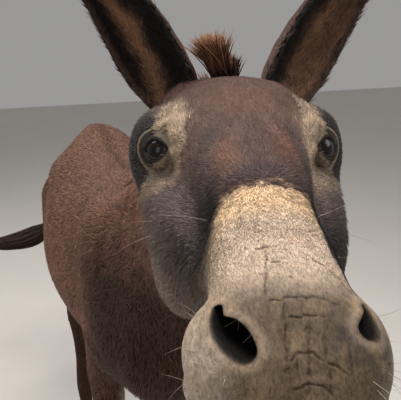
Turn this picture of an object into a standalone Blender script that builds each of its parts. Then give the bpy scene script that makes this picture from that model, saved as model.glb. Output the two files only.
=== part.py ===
"""A life-size donkey, standing with its neck raised and its nose reached forward.

The flesh is built from masses: long tapered ones along a curve (trunk, neck, face, limbs, dock) and
round ones (shoulder, haunch, cheek, brow). Each mass is lofted as a closed mesh, a voxel Remesh makes
one body of them all, and its points are then drawn onto the blended surface of the same masses, so
that muscles run into each other. Thin slabs part that body into its named pieces. The ears, eyes,
hooves, mane, forelock and tail switch are pieces of their own.

Metres, +Z up. The donkey faces -Y, its left side is +X, and it stands on Z = 0.
"""

import math

import bmesh
import bpy
import numpy as np
from mathutils import Matrix, Vector

for old in list(bpy.data.objects):
    bpy.data.objects.remove(old)

# ---------------------------------------------------------------- driving dimensions

ORIGIN_SHIFT = (0.110, 0.162, 0.0)     # puts the origin under the middle of the whole model
HEAD_PLACE = (-0.055, -0.800, 1.318)  # midway between the eyeballs
HEAD_YAW = math.radians(16.5)        # the nose points this far to the donkey's right
HEAD_PITCH = math.radians(1.0)       # and this far below level
HEAD_ROLL = math.radians(0.0)
JOINT_GAP = 0.0003                   # between pieces that meet
CAGE_VOXEL = 0.009
FLESH_TRIANGLES = 4700

FORE_HOOF_X, FORE_HOOF_Y = 0.112, -0.262    # middle of each coronet
HIND_HOOF_X = 0.112
HIND_HOOF_Y = {-1: 0.360, 1: 0.560}  # the right hind foot is set forward
CORONET_Z = 0.070
TRUNK_SIDE = Vector((1.0, 0.0, 0.0))

EYE_PLACE = (0.0812, 0.0005, 0.004)     # in the head's own lateral, forward and up
EYE_RADIUS = 0.0195
EYE_LOOK = (0.78, 0.61, 0.12)        # the way the opening between the lids faces, on the left
LID_OPENING = (0.0150, 0.0190, 0.0145)
NOSTRIL_PLACE = (0.0425, 0.283, -0.040)
NOSTRIL_RUNS = (-0.42, 0.80, -0.42)   # along the opening, from its narrow top end
NOSTRIL_FACES = (0.74, 0.50, 0.45)
NOSTRIL_SIZE = (0.0210, 0.0105, 0.0120)   # half length, half width, depth
MOUTH_LEVEL = -0.088
MUZZLE_START = 0.165
CHEEK_CUT = (0.0, -0.135, -0.050)    # a point of the cut behind the jaw and poll, and its facing
CHEEK_CUT_FACING = (0.0, 0.958, 0.287)

EAR_ROOT = (0.058, -0.112, 0.030)
EAR_LEAN = (0.60, -0.14, 0.82)       # lateral, forward and up along the left ear
EAR_OPENS = (0.42, 0.88, 0.10)       # and the way its opening faces
EAR_LENGTH = 0.270
EAR_WALL = 0.0075
EAR_BEND = 0.020                     # the middle of the ear bows back by this much
EAR_CLOSED = 0.12                    # share of the length over which the scoop opens out
EAR_WIDTHS = (                       # share of the length, full width, depth of the scoop
    (0.00, 0.064, 0.028),
    (0.10, 0.086, 0.035),
    (0.22, 0.099, 0.038),
    (0.34, 0.099, 0.035),
    (0.50, 0.084, 0.028),
    (0.68, 0.062, 0.021),
    (0.84, 0.040, 0.015),
    (0.95, 0.020, 0.010),
    (1.00, 0.007, 0.0085),
)
EAR_RINGS, EAR_POINTS = 12, 7

HOOF_SOLE = (0.038, 0.050)           # half width and half length at the ground
HOOF_CORONET = (0.0350, 0.0385)
HOOF_FORWARD = 0.022                 # the sole's middle ahead of the coronet's
CORONET_TILT = math.radians(16.0)    # the coronet is lower at the heel
HOOF_HEEL = 0.82                     # the heel's reach over the toe's
WORN_EDGE = 0.965                    # the sole's outline over the wall's just above it
HOOF_POINTS = 18
DOCK_CUT = 7                         # how many twentieths of the dock stay with the trunk
MANE_HEIGHT, MANE_HALF_WIDTH = 0.062, 0.017
MANE_ROOT = 0.012                    # how deep the ridge of hair starts under the skin
MANE_ENDS_AT = 17                    # the step of the neck's curve where the mane ends
FORELOCK_CURVE = (                   # in the head's axes, and the radius
    (-0.004, -0.118, 0.040, 0.019),
    (-0.010, -0.106, 0.070, 0.019),
    (-0.018, -0.098, 0.095, 0.015),
    (-0.026, -0.094, 0.116, 0.006),
)
SWITCH_CURVE = (                     # the long hair of the tail: x, y, z, radius
    (-0.172, 0.752, 0.660, 0.030),
    (-0.215, 0.753, 0.638, 0.040),
    (-0.275, 0.750, 0.626, 0.036),
    (-0.340, 0.742, 0.626, 0.026),
    (-0.400, 0.730, 0.636, 0.015),
    (-0.440, 0.720, 0.648, 0.005),
)

COAT = (0.115, 0.062, 0.045, 1.0)
DARK_COAT = (0.035, 0.022, 0.020, 1.0)
PALE_MUZZLE = (0.46, 0.39, 0.31, 1.0)
HORN_GREY = (0.095, 0.085, 0.075, 1.0)
EYE_BROWN = (0.020, 0.011, 0.008, 1.0)


# ---------------------------------------------------------------- the head's own axes

def head_axes():
    """Lateral (donkey's left), forward (nose) and up directions of the head."""
    turn = Matrix.Rotation(-HEAD_YAW, 3, "Z")
    tilt = Matrix.Rotation(HEAD_PITCH, 3, "X")
    lean = Matrix.Rotation(HEAD_ROLL, 3, "Y")
    frame = turn @ tilt @ lean
    return frame @ Vector((1, 0, 0)), frame @ Vector((0, -1, 0)), frame @ Vector((0, 0, 1))


HEAD_LEFT, HEAD_FORWARD, HEAD_UP = head_axes()


def on_head(lateral, forward, up):
    """A point given in the head's own axes, in the donkey's frame."""
    return Vector(HEAD_PLACE) + HEAD_LEFT * lateral + HEAD_FORWARD * forward + HEAD_UP * up


# ---------------------------------------------------------------- masses

def through(rows, count):
    """Rows of numbers, read at count even steps along a smooth curve through them all."""
    rows = np.asarray(rows, float)
    steps = np.linalg.norm(np.diff(rows[:, :3], axis=0), axis=1)
    knots = np.concatenate([[0], np.cumsum(steps)])
    slopes = np.gradient(rows, knots, axis=0)
    at = np.linspace(0, knots[-1], count)
    k = np.clip(np.searchsorted(knots, at, side="right") - 1, 0, len(knots) - 2)
    width = (knots[k + 1] - knots[k])[:, None]
    t = (at - knots[k])[:, None] / width
    return (
        (2 * t**3 - 3 * t**2 + 1) * rows[k]
        + (t**3 - 2 * t**2 + t) * width * slopes[k]
        + (3 * t**2 - 2 * t**3) * rows[k + 1]
        + (t**3 - t**2) * width * slopes[k + 1]
    )


class Tube:
    """A tapered mass along a curve. Rows are x, y, z, half width, top or back depth, under or front depth."""

    def __init__(self, rows, blend, side=TRUNK_SIDE, power=2.0, cap=0.6, count=20):
        self.blend, self.power = blend, power
        table = through(rows, count)
        self.spine, self.wide, self.top, self.under = table[:, :3], table[:, 3], table[:, 4], table[:, 5]
        self.cap = cap * min(self.wide[0], self.top[0]), cap * min(self.wide[-1], self.top[-1])
        along = np.gradient(self.spine, axis=0)
        self.along = along / np.linalg.norm(along, axis=1)[:, None]
        side = np.asarray(side, float)
        across = side - (self.along @ side)[:, None] * self.along
        self.across = across / np.linalg.norm(across, axis=1)[:, None]
        self.reach = float(max(self.wide.max(), self.top.max(), self.under.max())) + 0.02

    def box(self, margin):
        grow = self.reach + margin
        return self.spine.min(0) - grow, self.spine.max(0) + grow

    def distance(self, points):
        start, step = self.spine[:-1], np.diff(self.spine, axis=0)
        square = (step**2).sum(1)
        along = points @ step.T - (start * step).sum(1)
        share = np.clip(along / square, 0, 1)
        far = (points**2).sum(1)[:, None] - 2 * points @ start.T + (start**2).sum(1)
        far += share * (share * square - 2 * along)
        k = far.argmin(1)
        pick = np.arange(len(points))
        t = share[pick, k][:, None]

        def between(values):
            values = values.reshape(len(values), -1)
            return values[k] * (1 - t) + values[k + 1] * t

        off = points - between(self.spine)
        tangent, across = between(self.along), between(self.across)
        upward = np.cross(across, tangent)
        s = (off * across).sum(1) / between(self.wide)[:, 0]
        n = (off * upward).sum(1)
        n /= np.where(n > 0, between(self.top)[:, 0], between(self.under)[:, 0])
        w = (off * tangent).sum(1)
        w /= np.where(w < 0, self.cap[0], self.cap[1])
        size = (np.abs(s) ** self.power + np.abs(n) ** self.power + np.abs(w) ** self.power)
        size = np.maximum(size, 1e-9) ** (1 / self.power)
        return np.linalg.norm(off, axis=1) * (1 - 1 / size)

    def loft(self, bm, segments=20):
        """Rings along the curve, closed at both ends by two shrinking rings and a point."""
        turns = np.linspace(0, 2 * math.pi, segments, endpoint=False)
        cos, sin = np.cos(turns), np.sin(turns)
        upward = np.cross(self.across, self.along)
        stations = [(0, -self.cap[0] * 0.8, 0.55)]
        stations += [(i, 0.0, 1.0) for i in range(len(self.spine))]
        stations += [(len(self.spine) - 1, self.cap[1] * 0.8, 0.55)]
        rings = []
        for i, ahead, share in stations:
            depth = np.where(sin > 0, self.top[i], self.under[i]) * sin
            ring = self.spine[i] + self.along[i] * ahead
            ring = ring + share * (np.outer(cos * self.wide[i], self.across[i]) + np.outer(depth, upward[i]))
            rings.append([bm.verts.new(p) for p in ring])
        for first, second in zip(rings, rings[1:]):
            for j in range(segments):
                m = (j + 1) % segments
                bm.faces.new((first[j], first[m], second[m], second[j]))
        bm.faces.new(rings[0])
        bm.faces.new(rings[-1][::-1])


class Blob:
    """An ellipsoid mass: centre, three half sizes and the directions they lie along."""

    def __init__(self, centre, sizes, blend, axes=((1, 0, 0), (0, 1, 0), (0, 0, 1))):
        self.centre, self.sizes, self.blend = np.asarray(centre, float), np.asarray(sizes, float), blend
        first = Vector(axes[0]).normalized()
        third = first.cross(Vector(axes[1])).normalized()
        self.axes = np.array([first, third.cross(first), third])

    def box(self, margin):
        grow = self.sizes.max() + margin
        return self.centre - grow, self.centre + grow

    def distance(self, points):
        off = points - self.centre
        size = np.linalg.norm((off @ self.axes.T) / self.sizes, axis=1)
        return np.linalg.norm(off, axis=1) * (1 - 1 / np.maximum(size, 1e-6))

    def loft(self, bm):
        turn = Matrix(self.axes.T.tolist()).to_4x4()
        place = Matrix.Translation(self.centre.tolist()) @ turn @ Matrix.Diagonal((*self.sizes, 1))
        bmesh.ops.create_uvsphere(bm, u_segments=16, v_segments=10, radius=1, matrix=place)


def trunk_masses():
    """Barrel with its spine, withers, chest and breast. y, top, underside, widest line, half width."""
    stations = (
        (-0.375, 0.995, 0.672, 0.845, 0.115),
        (-0.270, 1.072, 0.628, 0.840, 0.150),
        (-0.120, 1.100, 0.608, 0.830, 0.182),
        (0.040, 1.083, 0.588, 0.816, 0.212),
        (0.190, 1.082, 0.576, 0.812, 0.223),
        (0.330, 1.108, 0.602, 0.822, 0.208),
        (0.450, 1.122, 0.685, 0.845, 0.170),
        (0.560, 1.072, 0.760, 0.872, 0.125),
    )
    rows = [(0, y, wide, a, top - wide, wide - under) for y, top, under, wide, a in stations]
    masses = [Tube(rows, 0.0, cap=0.75, power=2.15, count=26)]
    masses.append(Blob((0, -0.175, 1.042), (0.045, 0.150, 0.078), 0.05))
    masses.append(Blob((0, 0.430, 1.046), (0.064, 0.150, 0.074), 0.06))
    masses.append(Blob((0, -0.335, 0.790), (0.120, 0.100, 0.150), 0.06))
    masses.append(Blob((0, -0.325, 0.975), (0.118, 0.125, 0.125), 0.10))
    for side in (-1, 1):
        masses += [
            Blob((side * 0.100, -0.235, 0.890), (0.070, 0.115, 0.205), 0.05,
                 ((1, 0, 0), (0, 0.91, -0.42))),
            Blob((side * 0.062, -0.385, 0.790), (0.055, 0.050, 0.080), 0.05),
            Blob((side * 0.088, 0.450, 0.850), (0.090, 0.160, 0.160), 0.07),
            Blob((side * 0.118, 0.340, 0.985), (0.040, 0.055, 0.040), 0.07),
            Blob((side * 0.070, 0.590, 0.870), (0.058, 0.065, 0.115), 0.06),
        ]
    return masses


def fore_limb(side):
    """Arm, forearm, knee, cannon, fetlock and pastern, down to the coronet."""
    x = side * FORE_HOOF_X
    y = FORE_HOOF_Y
    rows = (
        (side * 0.112, y + 0.030, 0.770, 0.058, 0.085, 0.085),
        (side * 0.122, y + 0.062, 0.665, 0.052, 0.070, 0.070),
        (side * 0.120, y + 0.064, 0.590, 0.043, 0.052, 0.055),
        (side * 0.118, y + 0.060, 0.500, 0.036, 0.042, 0.044),
        (side * 0.115, y + 0.055, 0.420, 0.0300, 0.034, 0.034),
        (x, y + 0.050, 0.370, 0.0345, 0.036, 0.037),
        (x, y + 0.052, 0.320, 0.0275, 0.033, 0.029),
        (x, y + 0.054, 0.240, 0.0225, 0.030, 0.0255),
        (x, y + 0.050, 0.152, 0.0285, 0.035, 0.031),
        (x, y + 0.026, 0.108, 0.0255, 0.028, 0.027),
        (x, y, CORONET_Z - 0.010, 0.0345, 0.037, 0.037),
    )
    return [Tube(rows, 0.045, count=34)]


def hind_limb(side):
    """Thigh, stifle, gaskin, hock, cannon, fetlock and pastern, down to the coronet."""
    x = side * HIND_HOOF_X
    y = HIND_HOOF_Y[side]
    swing = y - HIND_HOOF_Y[1]
    rows = (
        (side * 0.112, 0.490, 0.880, 0.078, 0.150, 0.140),
        (side * 0.122, 0.455 + 0.20 * swing, 0.755, 0.075, 0.130, 0.118),
        (side * 0.126, 0.460 + 0.45 * swing, 0.660, 0.063, 0.100, 0.084),
        (side * 0.124, 0.515 + 0.62 * swing, 0.570, 0.043, 0.066, 0.056),
        (side * 0.119, 0.586 + 0.75 * swing, 0.492, 0.0290, 0.048, 0.038),
        (side * 0.116, 0.620 + 0.82 * swing, 0.435, 0.0345, 0.044, 0.042),
        (x, y + 0.068 + 0.12 * -swing, 0.375, 0.0290, 0.038, 0.033),
        (x, y + 0.060 + 0.08 * -swing, 0.270, 0.0235, 0.032, 0.0275),
        (x, y + 0.052, 0.158, 0.0290, 0.036, 0.032),
        (x, y + 0.026, 0.110, 0.0255, 0.028, 0.027),
        (x, y, CORONET_Z - 0.010, 0.0335, 0.036, 0.036),
    )
    point_of_hock = Blob((side * 0.116, 0.652 + 0.82 * swing, 0.462), (0.017, 0.022, 0.036), 0.03)
    return [Tube(rows, 0.050, count=38), point_of_hock]


def neck_masses():
    """The neck, from behind the poll down into the withers and chest, and the hump of its crest."""
    poll = on_head(0, -0.135, -0.026)
    rows = (
        (poll.x, poll.y, poll.z, 0.060, 0.068, 0.100),
        (-0.050, -0.585, 1.215, 0.066, 0.100, 0.116),
        (-0.030, -0.480, 1.135, 0.079, 0.122, 0.145),
        (-0.010, -0.355, 1.045, 0.108, 0.136, 0.175),
        (0.000, -0.230, 0.955, 0.130, 0.122, 0.185),
        (0.000, -0.120, 0.890, 0.110, 0.100, 0.150),
    )
    return [Tube(rows, 0.07, count=22)]


def head_masses():
    """Face, lower jaw, cheeks, brows, facial crests, muzzle, nostril wings, lips and chin."""
    face = (  # forward, widest line, half width, rise to the profile, drop to the palate
        (0.285, -0.068, 0.040, 0.028, 0.026),
        (0.250, -0.058, 0.050, 0.042, 0.036),
        (0.205, -0.048, 0.051, 0.050, 0.042),
        (0.160, -0.040, 0.048, 0.054, 0.047),
        (0.115, -0.032, 0.053, 0.061, 0.054),
        (0.065, -0.022, 0.063, 0.071, 0.064),
        (0.015, -0.010, 0.074, 0.077, 0.080),
        (-0.045, -0.006, 0.095, 0.077, 0.090),
        (-0.105, -0.012, 0.086, 0.071, 0.082),
        (-0.150, -0.024, 0.062, 0.056, 0.068),
    )
    jaw = (  # forward, widest line, half width, rise, drop
        (0.272, -0.104, 0.030, 0.018, 0.014),
        (0.235, -0.104, 0.040, 0.024, 0.020),
        (0.175, -0.100, 0.046, 0.030, 0.024),
        (0.105, -0.104, 0.060, 0.038, 0.034),
        (0.040, -0.106, 0.071, 0.048, 0.050),
        (-0.020, -0.102, 0.072, 0.058, 0.056),
        (-0.075, -0.092, 0.062, 0.056, 0.048),
    )
    masses = [
        Tube([(*on_head(0, f, u), a, up, down) for f, u, a, up, down in face], 0.04,
             side=HEAD_LEFT, power=2.4, count=30),
        Tube([(*on_head(0, f, u), a, up, down) for f, u, a, up, down in jaw], 0.03,
             side=HEAD_LEFT, cap=0.9, count=22),
    ]
    axes = (HEAD_LEFT, HEAD_FORWARD)

    def lump(place, sizes, blend, directions=axes):
        masses.append(Blob(on_head(*place), sizes, blend, directions))

    lump((0, -0.050, 0.020), (0.070, 0.085, 0.046), 0.03)
    lump((-0.003, 0.266, -0.066), (0.056, 0.044, 0.036), 0.03)
    lump((-0.003, 0.292, -0.078), (0.045, 0.030, 0.026), 0.025)
    lump((-0.010, 0.262, -0.105), (0.048, 0.038, 0.016), 0.012)
    lump((-0.047, 0.246, -0.103), (0.0245, 0.030, 0.015), 0.010)
    lump((-0.006, 0.244, -0.119), (0.032, 0.030, 0.018), 0.018)
    for side in (-1, 1):
        outward = HEAD_LEFT * side
        lump((side * 0.059, 0.028, -0.090), (0.041, 0.112, 0.062), 0.035)
        lump((side * 0.091, -0.036, 0.002), (0.028, 0.036, 0.037), 0.03)
        lump((side * 0.063, 0.002, 0.021), (0.018, 0.028, 0.020), 0.03,
             (outward - HEAD_UP * 0.5, HEAD_FORWARD))
        lump((side * 0.050, -0.118, 0.014), (0.036, 0.042, 0.042), 0.035)
        lump((side * 0.046 - 0.0025, 0.272, -0.066), (0.021, 0.036, 0.030), 0.022,
             (outward + HEAD_FORWARD * 0.25, HEAD_FORWARD - outward * 0.25))
        crest = [(*on_head(side * a, f, u), r, r, r)
                 for a, f, u, r in ((0.094, -0.060, -0.018, 0.014), (0.088, 0.020, -0.040, 0.013),
                                    (0.070, 0.085, -0.054, 0.012), (0.046, 0.150, -0.062, 0.011))]
        masses.append(Tube(crest, 0.045, side=HEAD_LEFT, count=12))
    return masses


def dock_masses():
    """The fleshy root of the tail, swung out to the donkey's right."""
    return [Tube([(x, y, z, r, r, r) for x, y, z, r in DOCK_CURVE], 0.03, count=14)]


DOCK_CURVE = (  # x, y, z, radius
    (0.000, 0.610, 1.015, 0.034),
    (-0.004, 0.672, 0.965, 0.029),
    (-0.022, 0.712, 0.880, 0.026),
    (-0.060, 0.738, 0.790, 0.023),
    (-0.112, 0.750, 0.710, 0.020),
    (-0.165, 0.752, 0.665, 0.016),
)


def all_masses():
    masses = trunk_masses() + neck_masses() + head_masses() + dock_masses()
    for side in (-1, 1):
        masses += fore_limb(side) + hind_limb(side)
    return masses


def blended_distance(masses, points):
    """Signed distance, near the surface, to all the masses run smoothly into each other."""
    found = np.full(len(points), 1.0)
    for mass in masses:
        low, high = mass.box(max(mass.blend, 0.03) + 0.02)
        near = np.flatnonzero(((points > low) & (points < high)).all(1))
        if not len(near):
            continue
        here, there = found[near], mass.distance(points[near])
        soft = max(mass.blend, 1e-4)
        overlap = np.maximum(soft - np.abs(here - there), 0) / soft
        found[near] = np.minimum(here, there) - overlap**2 * soft / 4
    return found


def drawn_onto(masses, points, rounds=3, offset=0.0):
    """Points moved along the slope of the distance until they lie on the blended surface."""
    reach = 0.0015
    for _ in range(rounds):
        value = blended_distance(masses, points) - offset
        ahead = [blended_distance(masses, points + reach * axis) - offset for axis in np.eye(3)]
        slope = (np.stack(ahead, 1) - value[:, None]) / reach
        steep = np.maximum((slope**2).sum(1), 0.25)
        step = np.clip(value / steep, -0.02, 0.02)
        points = points - slope * step[:, None]
    return points


# ---------------------------------------------------------------- meshes and objects

def material(name, colour, roughness=0.8):
    made = bpy.data.materials.get(name) or bpy.data.materials.new(name)
    made.use_nodes = True
    shader = made.node_tree.nodes["Principled BSDF"]
    shader.inputs["Base Color"].default_value = colour
    shader.inputs["Roughness"].default_value = roughness
    return made


def new_object(name, mesh, colour_of, helper=False):
    obj = bpy.data.objects.new(name, mesh)
    bpy.context.scene.collection.objects.link(obj)
    if helper:
        obj.hide_render = True
        obj.display_type = "WIRE"
    else:
        mesh.materials.clear()
        mesh.materials.append(colour_of)
        mesh.shade_smooth()
    return obj


def mesh_from(name, build):
    bm = bmesh.new()
    build(bm)
    bmesh.ops.recalc_face_normals(bm, faces=bm.faces)
    mesh = bpy.data.meshes.new(name)
    bm.to_mesh(mesh)
    bm.free()
    return mesh


def applied(obj):
    """The mesh that an object's modifiers make. The object itself is removed."""
    graph = bpy.context.evaluated_depsgraph_get()
    mesh = bpy.data.meshes.new_from_object(obj.evaluated_get(graph))
    bpy.data.objects.remove(obj)
    return mesh


def with_modifier(mesh, kind, **settings):
    obj = new_object("work", mesh, None, helper=True)
    modifier = obj.modifiers.new(kind, kind)
    for name, value in settings.items():
        setattr(modifier, name, value)
    return applied(obj)


def points_of(mesh):
    flat = np.empty(len(mesh.vertices) * 3, np.float32)
    mesh.vertices.foreach_get("co", flat)
    return flat.reshape(-1, 3).astype(float)


def put_points(mesh, points):
    mesh.vertices.foreach_set("co", points.astype(np.float32).ravel())
    mesh.update()
    return mesh


def flesh_mesh(masses):
    """All masses lofted, made one body by a voxel Remesh, drawn onto their blended surface, and thinned."""
    def build(bm):
        for mass in masses:
            mass.loft(bm)

    mesh = with_modifier(mesh_from("flesh", build), "REMESH", mode="VOXEL", voxel_size=CAGE_VOXEL)
    put_points(mesh, drawn_onto(masses, points_of(mesh)))
    mesh = with_modifier(mesh, "REMESH", mode="VOXEL", voxel_size=CAGE_VOXEL)
    put_points(mesh, drawn_onto(masses, points_of(mesh)))
    mesh = with_modifier(mesh, "TRIANGULATE")
    ratio = FLESH_TRIANGLES / len(mesh.polygons)
    return with_modifier(mesh, "DECIMATE", ratio=ratio)


def cut(mesh, cutters):
    """The mesh less each of the cutter meshes in turn."""
    obj = new_object("work", mesh, None, helper=True)
    helpers = []
    for cutter in cutters:
        helper = new_object("cutter", cutter, None, helper=True)
        helpers.append(helper)
        modifier = obj.modifiers.new("cut", "BOOLEAN")
        modifier.operation = "DIFFERENCE"
        modifier.solver = "EXACT"
        modifier.object = helper
    result = applied(obj)
    for helper in helpers:
        bpy.data.objects.remove(helper)
    return result


def slab(centre, facing, along, sizes, thickness=JOINT_GAP):
    """A thin plate: its middle, the way it faces, a direction in it, and its two half sizes."""
    third = Vector(facing).normalized()
    first = (Vector(along) - third * third.dot(Vector(along))).normalized()
    second = third.cross(first)
    turn = Matrix((first, second, third)).transposed().to_4x4()
    place = Matrix.Translation(centre) @ turn @ Matrix.Diagonal((2 * sizes[0], 2 * sizes[1], thickness, 1))
    return mesh_from("slab", lambda bm: bmesh.ops.create_cube(bm, size=1, matrix=place))


def ellipsoid(centre, sizes, first, second, segments=16, rings=10):
    """A closed ellipsoid whose sizes lie along first, second and the direction square to both."""
    x = Vector(first).normalized()
    z = x.cross(Vector(second)).normalized()
    turn = Matrix((x, z.cross(x), z)).transposed().to_4x4()
    place = Matrix.Translation(centre) @ turn @ Matrix.Diagonal((*sizes, 1))
    return mesh_from("ellipsoid", lambda bm: bmesh.ops.create_uvsphere(
        bm, u_segments=segments, v_segments=rings, radius=1, matrix=place))


def sided(values, side):
    """Left-hand values in the head's axes, mirrored for side = -1, as a direction."""
    lateral, forward, up = values
    return HEAD_LEFT * lateral * side + HEAD_FORWARD * forward + HEAD_UP * up


def eye_centre(side):
    return Vector(HEAD_PLACE) + sided(EYE_PLACE, side)


def eyeball(side, radius):
    return ellipsoid(eye_centre(side), (radius,) * 3, sided(EYE_LOOK, side), HEAD_UP, 14, 9)


def head_hollows(masses):
    """Eye sockets, the opening between the lids, and the nostrils."""
    hollows = []
    for side in (-1, 1):
        look = sided(EYE_LOOK, side).normalized()
        hollows.append(eyeball(side, EYE_RADIUS + JOINT_GAP))
        hollows.append(ellipsoid(eye_centre(side) + look * EYE_RADIUS, LID_OPENING, look,
                                 HEAD_FORWARD, 14, 8))
        place = Vector(HEAD_PLACE) + sided(NOSTRIL_PLACE, side)
        place = Vector(drawn_onto(masses, np.array([place]), rounds=6)[0])
        faces, runs = sided(NOSTRIL_FACES, side), sided(NOSTRIL_RUNS, side)
        hollows.append(ellipsoid(place, NOSTRIL_SIZE, runs, faces.cross(runs), 12, 8))
    return hollows


def parting_slabs():
    """The thin cuts between the named pieces of flesh."""
    facing = sided(CHEEK_CUT_FACING, 1)
    behind_jaw = on_head(*CHEEK_CUT)
    slope = -CHEEK_CUT_FACING[2] / CHEEK_CUT_FACING[1]
    jaw_back = CHEEK_CUT[1] + (MOUTH_LEVEL - CHEEK_CUT[2]) * slope
    jaw_half = 0.24
    above_mouth = 0.09
    dock = through(DOCK_CURVE, 21)
    slabs = [
        slab(behind_jaw, facing, HEAD_LEFT, (0.16, 0.16)),
        slab(on_head(0, jaw_back + jaw_half, MOUTH_LEVEL), HEAD_UP, HEAD_FORWARD, (jaw_half, 0.14)),
        slab(on_head(0, MUZZLE_START, MOUTH_LEVEL + above_mouth), HEAD_FORWARD, HEAD_UP,
             (above_mouth, 0.12)),
        slab((0, -0.345, 0.945), (0, 0.83, -0.55), (1, 0, 0), (0.24, 0.30)),
        slab(dock[DOCK_CUT, :3], Vector(dock[DOCK_CUT + 1, :3] - dock[DOCK_CUT - 1, :3]), (1, 0, 0),
             (0.045, 0.045)),
    ]
    for side in (-1, 1):
        elbow = (side * 0.122, FORE_HOOF_Y + 0.064, 0.590)
        slabs.append(slab(elbow, (0, 0, 1), (1, 0, 0), (0.085, 0.105)))
        swing = HIND_HOOF_Y[side] - HIND_HOOF_Y[1]
        stifle = (side * 0.132, 0.505 + 0.6 * swing, 0.585)
        slabs.append(slab(stifle, (-side * 0.2, 0, 0.98), (1, 0, 0), (0.105, 0.125)))
        for x, y in ((side * FORE_HOOF_X, FORE_HOOF_Y), (side * HIND_HOOF_X, HIND_HOOF_Y[side])):
            below = (CORONET_Z - JOINT_GAP) / 2
            tilt = (0, math.sin(CORONET_TILT), math.cos(CORONET_TILT))
            middle = Vector((x, y, CORONET_Z)) - Vector(tilt) * (below - JOINT_GAP)
            slabs.append(slab(middle, tilt, (1, 0, 0), (0.06, 0.06), 2 * below))
    return slabs


FLESH_NODES = {   # a point well inside each piece
    "muzzle": on_head(0, 0.25, -0.05),
    "head": on_head(0, 0.0, -0.02),
    "lower_jaw": on_head(0, 0.08, -0.125),
    "neck": Vector((-0.03, -0.48, 1.13)),
    "trunk": Vector((0, 0.15, 0.85)),
    "tail_dock": Vector((-0.10, 0.745, 0.75)),
    "fore_leg_left": Vector((0.115, -0.21, 0.33)),
    "fore_leg_right": Vector((-0.115, -0.21, 0.33)),
    "hind_leg_left": Vector((0.118, 0.60, 0.36)),
    "hind_leg_right": Vector((-0.118, 0.43, 0.36)),
}


def loose_pieces(mesh):
    """Each unconnected body of a mesh as a mesh of its own."""
    bm = bmesh.new()
    bm.from_mesh(mesh)
    bm.verts.ensure_lookup_table()
    left = set(bm.verts)
    pieces = []
    while left:
        group, edge = set(), [left.pop()]
        while edge:
            vert = edge.pop()
            group.add(vert)
            near = {e.other_vert(vert) for e in vert.link_edges} & left
            left -= near
            edge.extend(near)
        copy = bm.copy()
        copy.verts.ensure_lookup_table()
        keep = {v.index for v in group}
        bmesh.ops.delete(copy, geom=[v for v in copy.verts if v.index not in keep], context="VERTS")
        piece = bpy.data.meshes.new("piece")
        copy.to_mesh(piece)
        copy.free()
        pieces.append(piece)
    bm.free()
    return pieces


def swollen(mesh, by=2 * JOINT_GAP):
    return with_modifier(mesh.copy(), "DISPLACE", strength=by, mid_level=0.0)


def ring_loft(rings):
    """A closed body through rings of points, its first and last ring filled."""
    def build(bm):
        made = [[bm.verts.new(p) for p in ring] for ring in rings]
        for first, second in zip(made, made[1:]):
            for j in range(len(first)):
                m = (j + 1) % len(first)
                bm.faces.new((first[j], first[m], second[m], second[j]))
        bm.faces.new(made[0][::-1])
        bm.faces.new(made[-1])
        bmesh.ops.triangulate(bm, faces=bm.faces)

    return mesh_from("loft", build)


def ear_mesh(side):
    """A leaf-shaped scoop, thick walled, closed at its root."""
    along = sided(EAR_LEAN, side).normalized()
    opens = sided(EAR_OPENS, side)
    opens = (opens - along * along.dot(opens)).normalized()
    across = along.cross(opens) * side
    table = np.array(EAR_WIDTHS)
    rings = []
    for step in range(EAR_RINGS):
        t = step / (EAR_RINGS - 1)
        half = np.interp(t, table[:, 0], table[:, 1]) / 2
        deep = np.interp(t, table[:, 0], table[:, 2])
        hollow = (deep - EAR_WALL) * min(1.0, t / EAR_CLOSED)
        bend = opens * EAR_BEND * math.sin(math.pi * t)
        middle = Vector(HEAD_PLACE) + sided(EAR_ROOT, side) + along * EAR_LENGTH * t - bend
        ring = []
        for k in range(EAR_POINTS + 1):
            turn = math.pi * k / EAR_POINTS
            ring.append(middle - across * half * math.cos(turn) - opens * deep * math.sin(turn))
        inner = max(half - EAR_WALL * 0.8, half * 0.35)
        for k in range(EAR_POINTS, -1, -1):
            turn = math.pi * k / EAR_POINTS
            ring.append(middle - across * inner * math.cos(turn) - opens * hollow * math.sin(turn)
                        + opens * 0.002)
        rings.append(ring)
    return ring_loft(rings)


def hoof_mesh(x, y):
    """A narrow upright hoof: flat sole at Z = 0, sloping wall, coronet lower at the heel."""
    rings = []
    for share in (0.0, 0.06, 0.55, 1.0):
        wide, long = (a + (b - a) * share for a, b in zip(HOOF_SOLE, HOOF_CORONET))
        if share == 0.0:
            wide, long = wide * WORN_EDGE, long * WORN_EDGE
        ring = []
        for k in range(HOOF_POINTS):
            turn = 2 * math.pi * k / HOOF_POINTS
            px = wide * math.sin(turn)
            py = -long * math.cos(turn)
            py = py if py < 0 else py * HOOF_HEEL
            ahead = HOOF_FORWARD * (1 - share)
            top = CORONET_Z - py * math.tan(CORONET_TILT)
            ring.append(Vector((x + px, y - ahead + py, top * share)))
        rings.append(ring)
    return ring_loft(rings)


def hair_mesh(rows, side, flatten=1.0, segments=9, count=9):
    """A closed tapering lock of hair; flatten is its thickness over its width."""
    table = through(rows, count)
    rows = [(x, y, z, r, r * flatten, r * flatten) for x, y, z, r in table]
    lock = Tube(rows, 0.0, side=side, count=count)
    return mesh_from("hair", lambda bm: lock.loft(bm, segments=segments))


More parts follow.
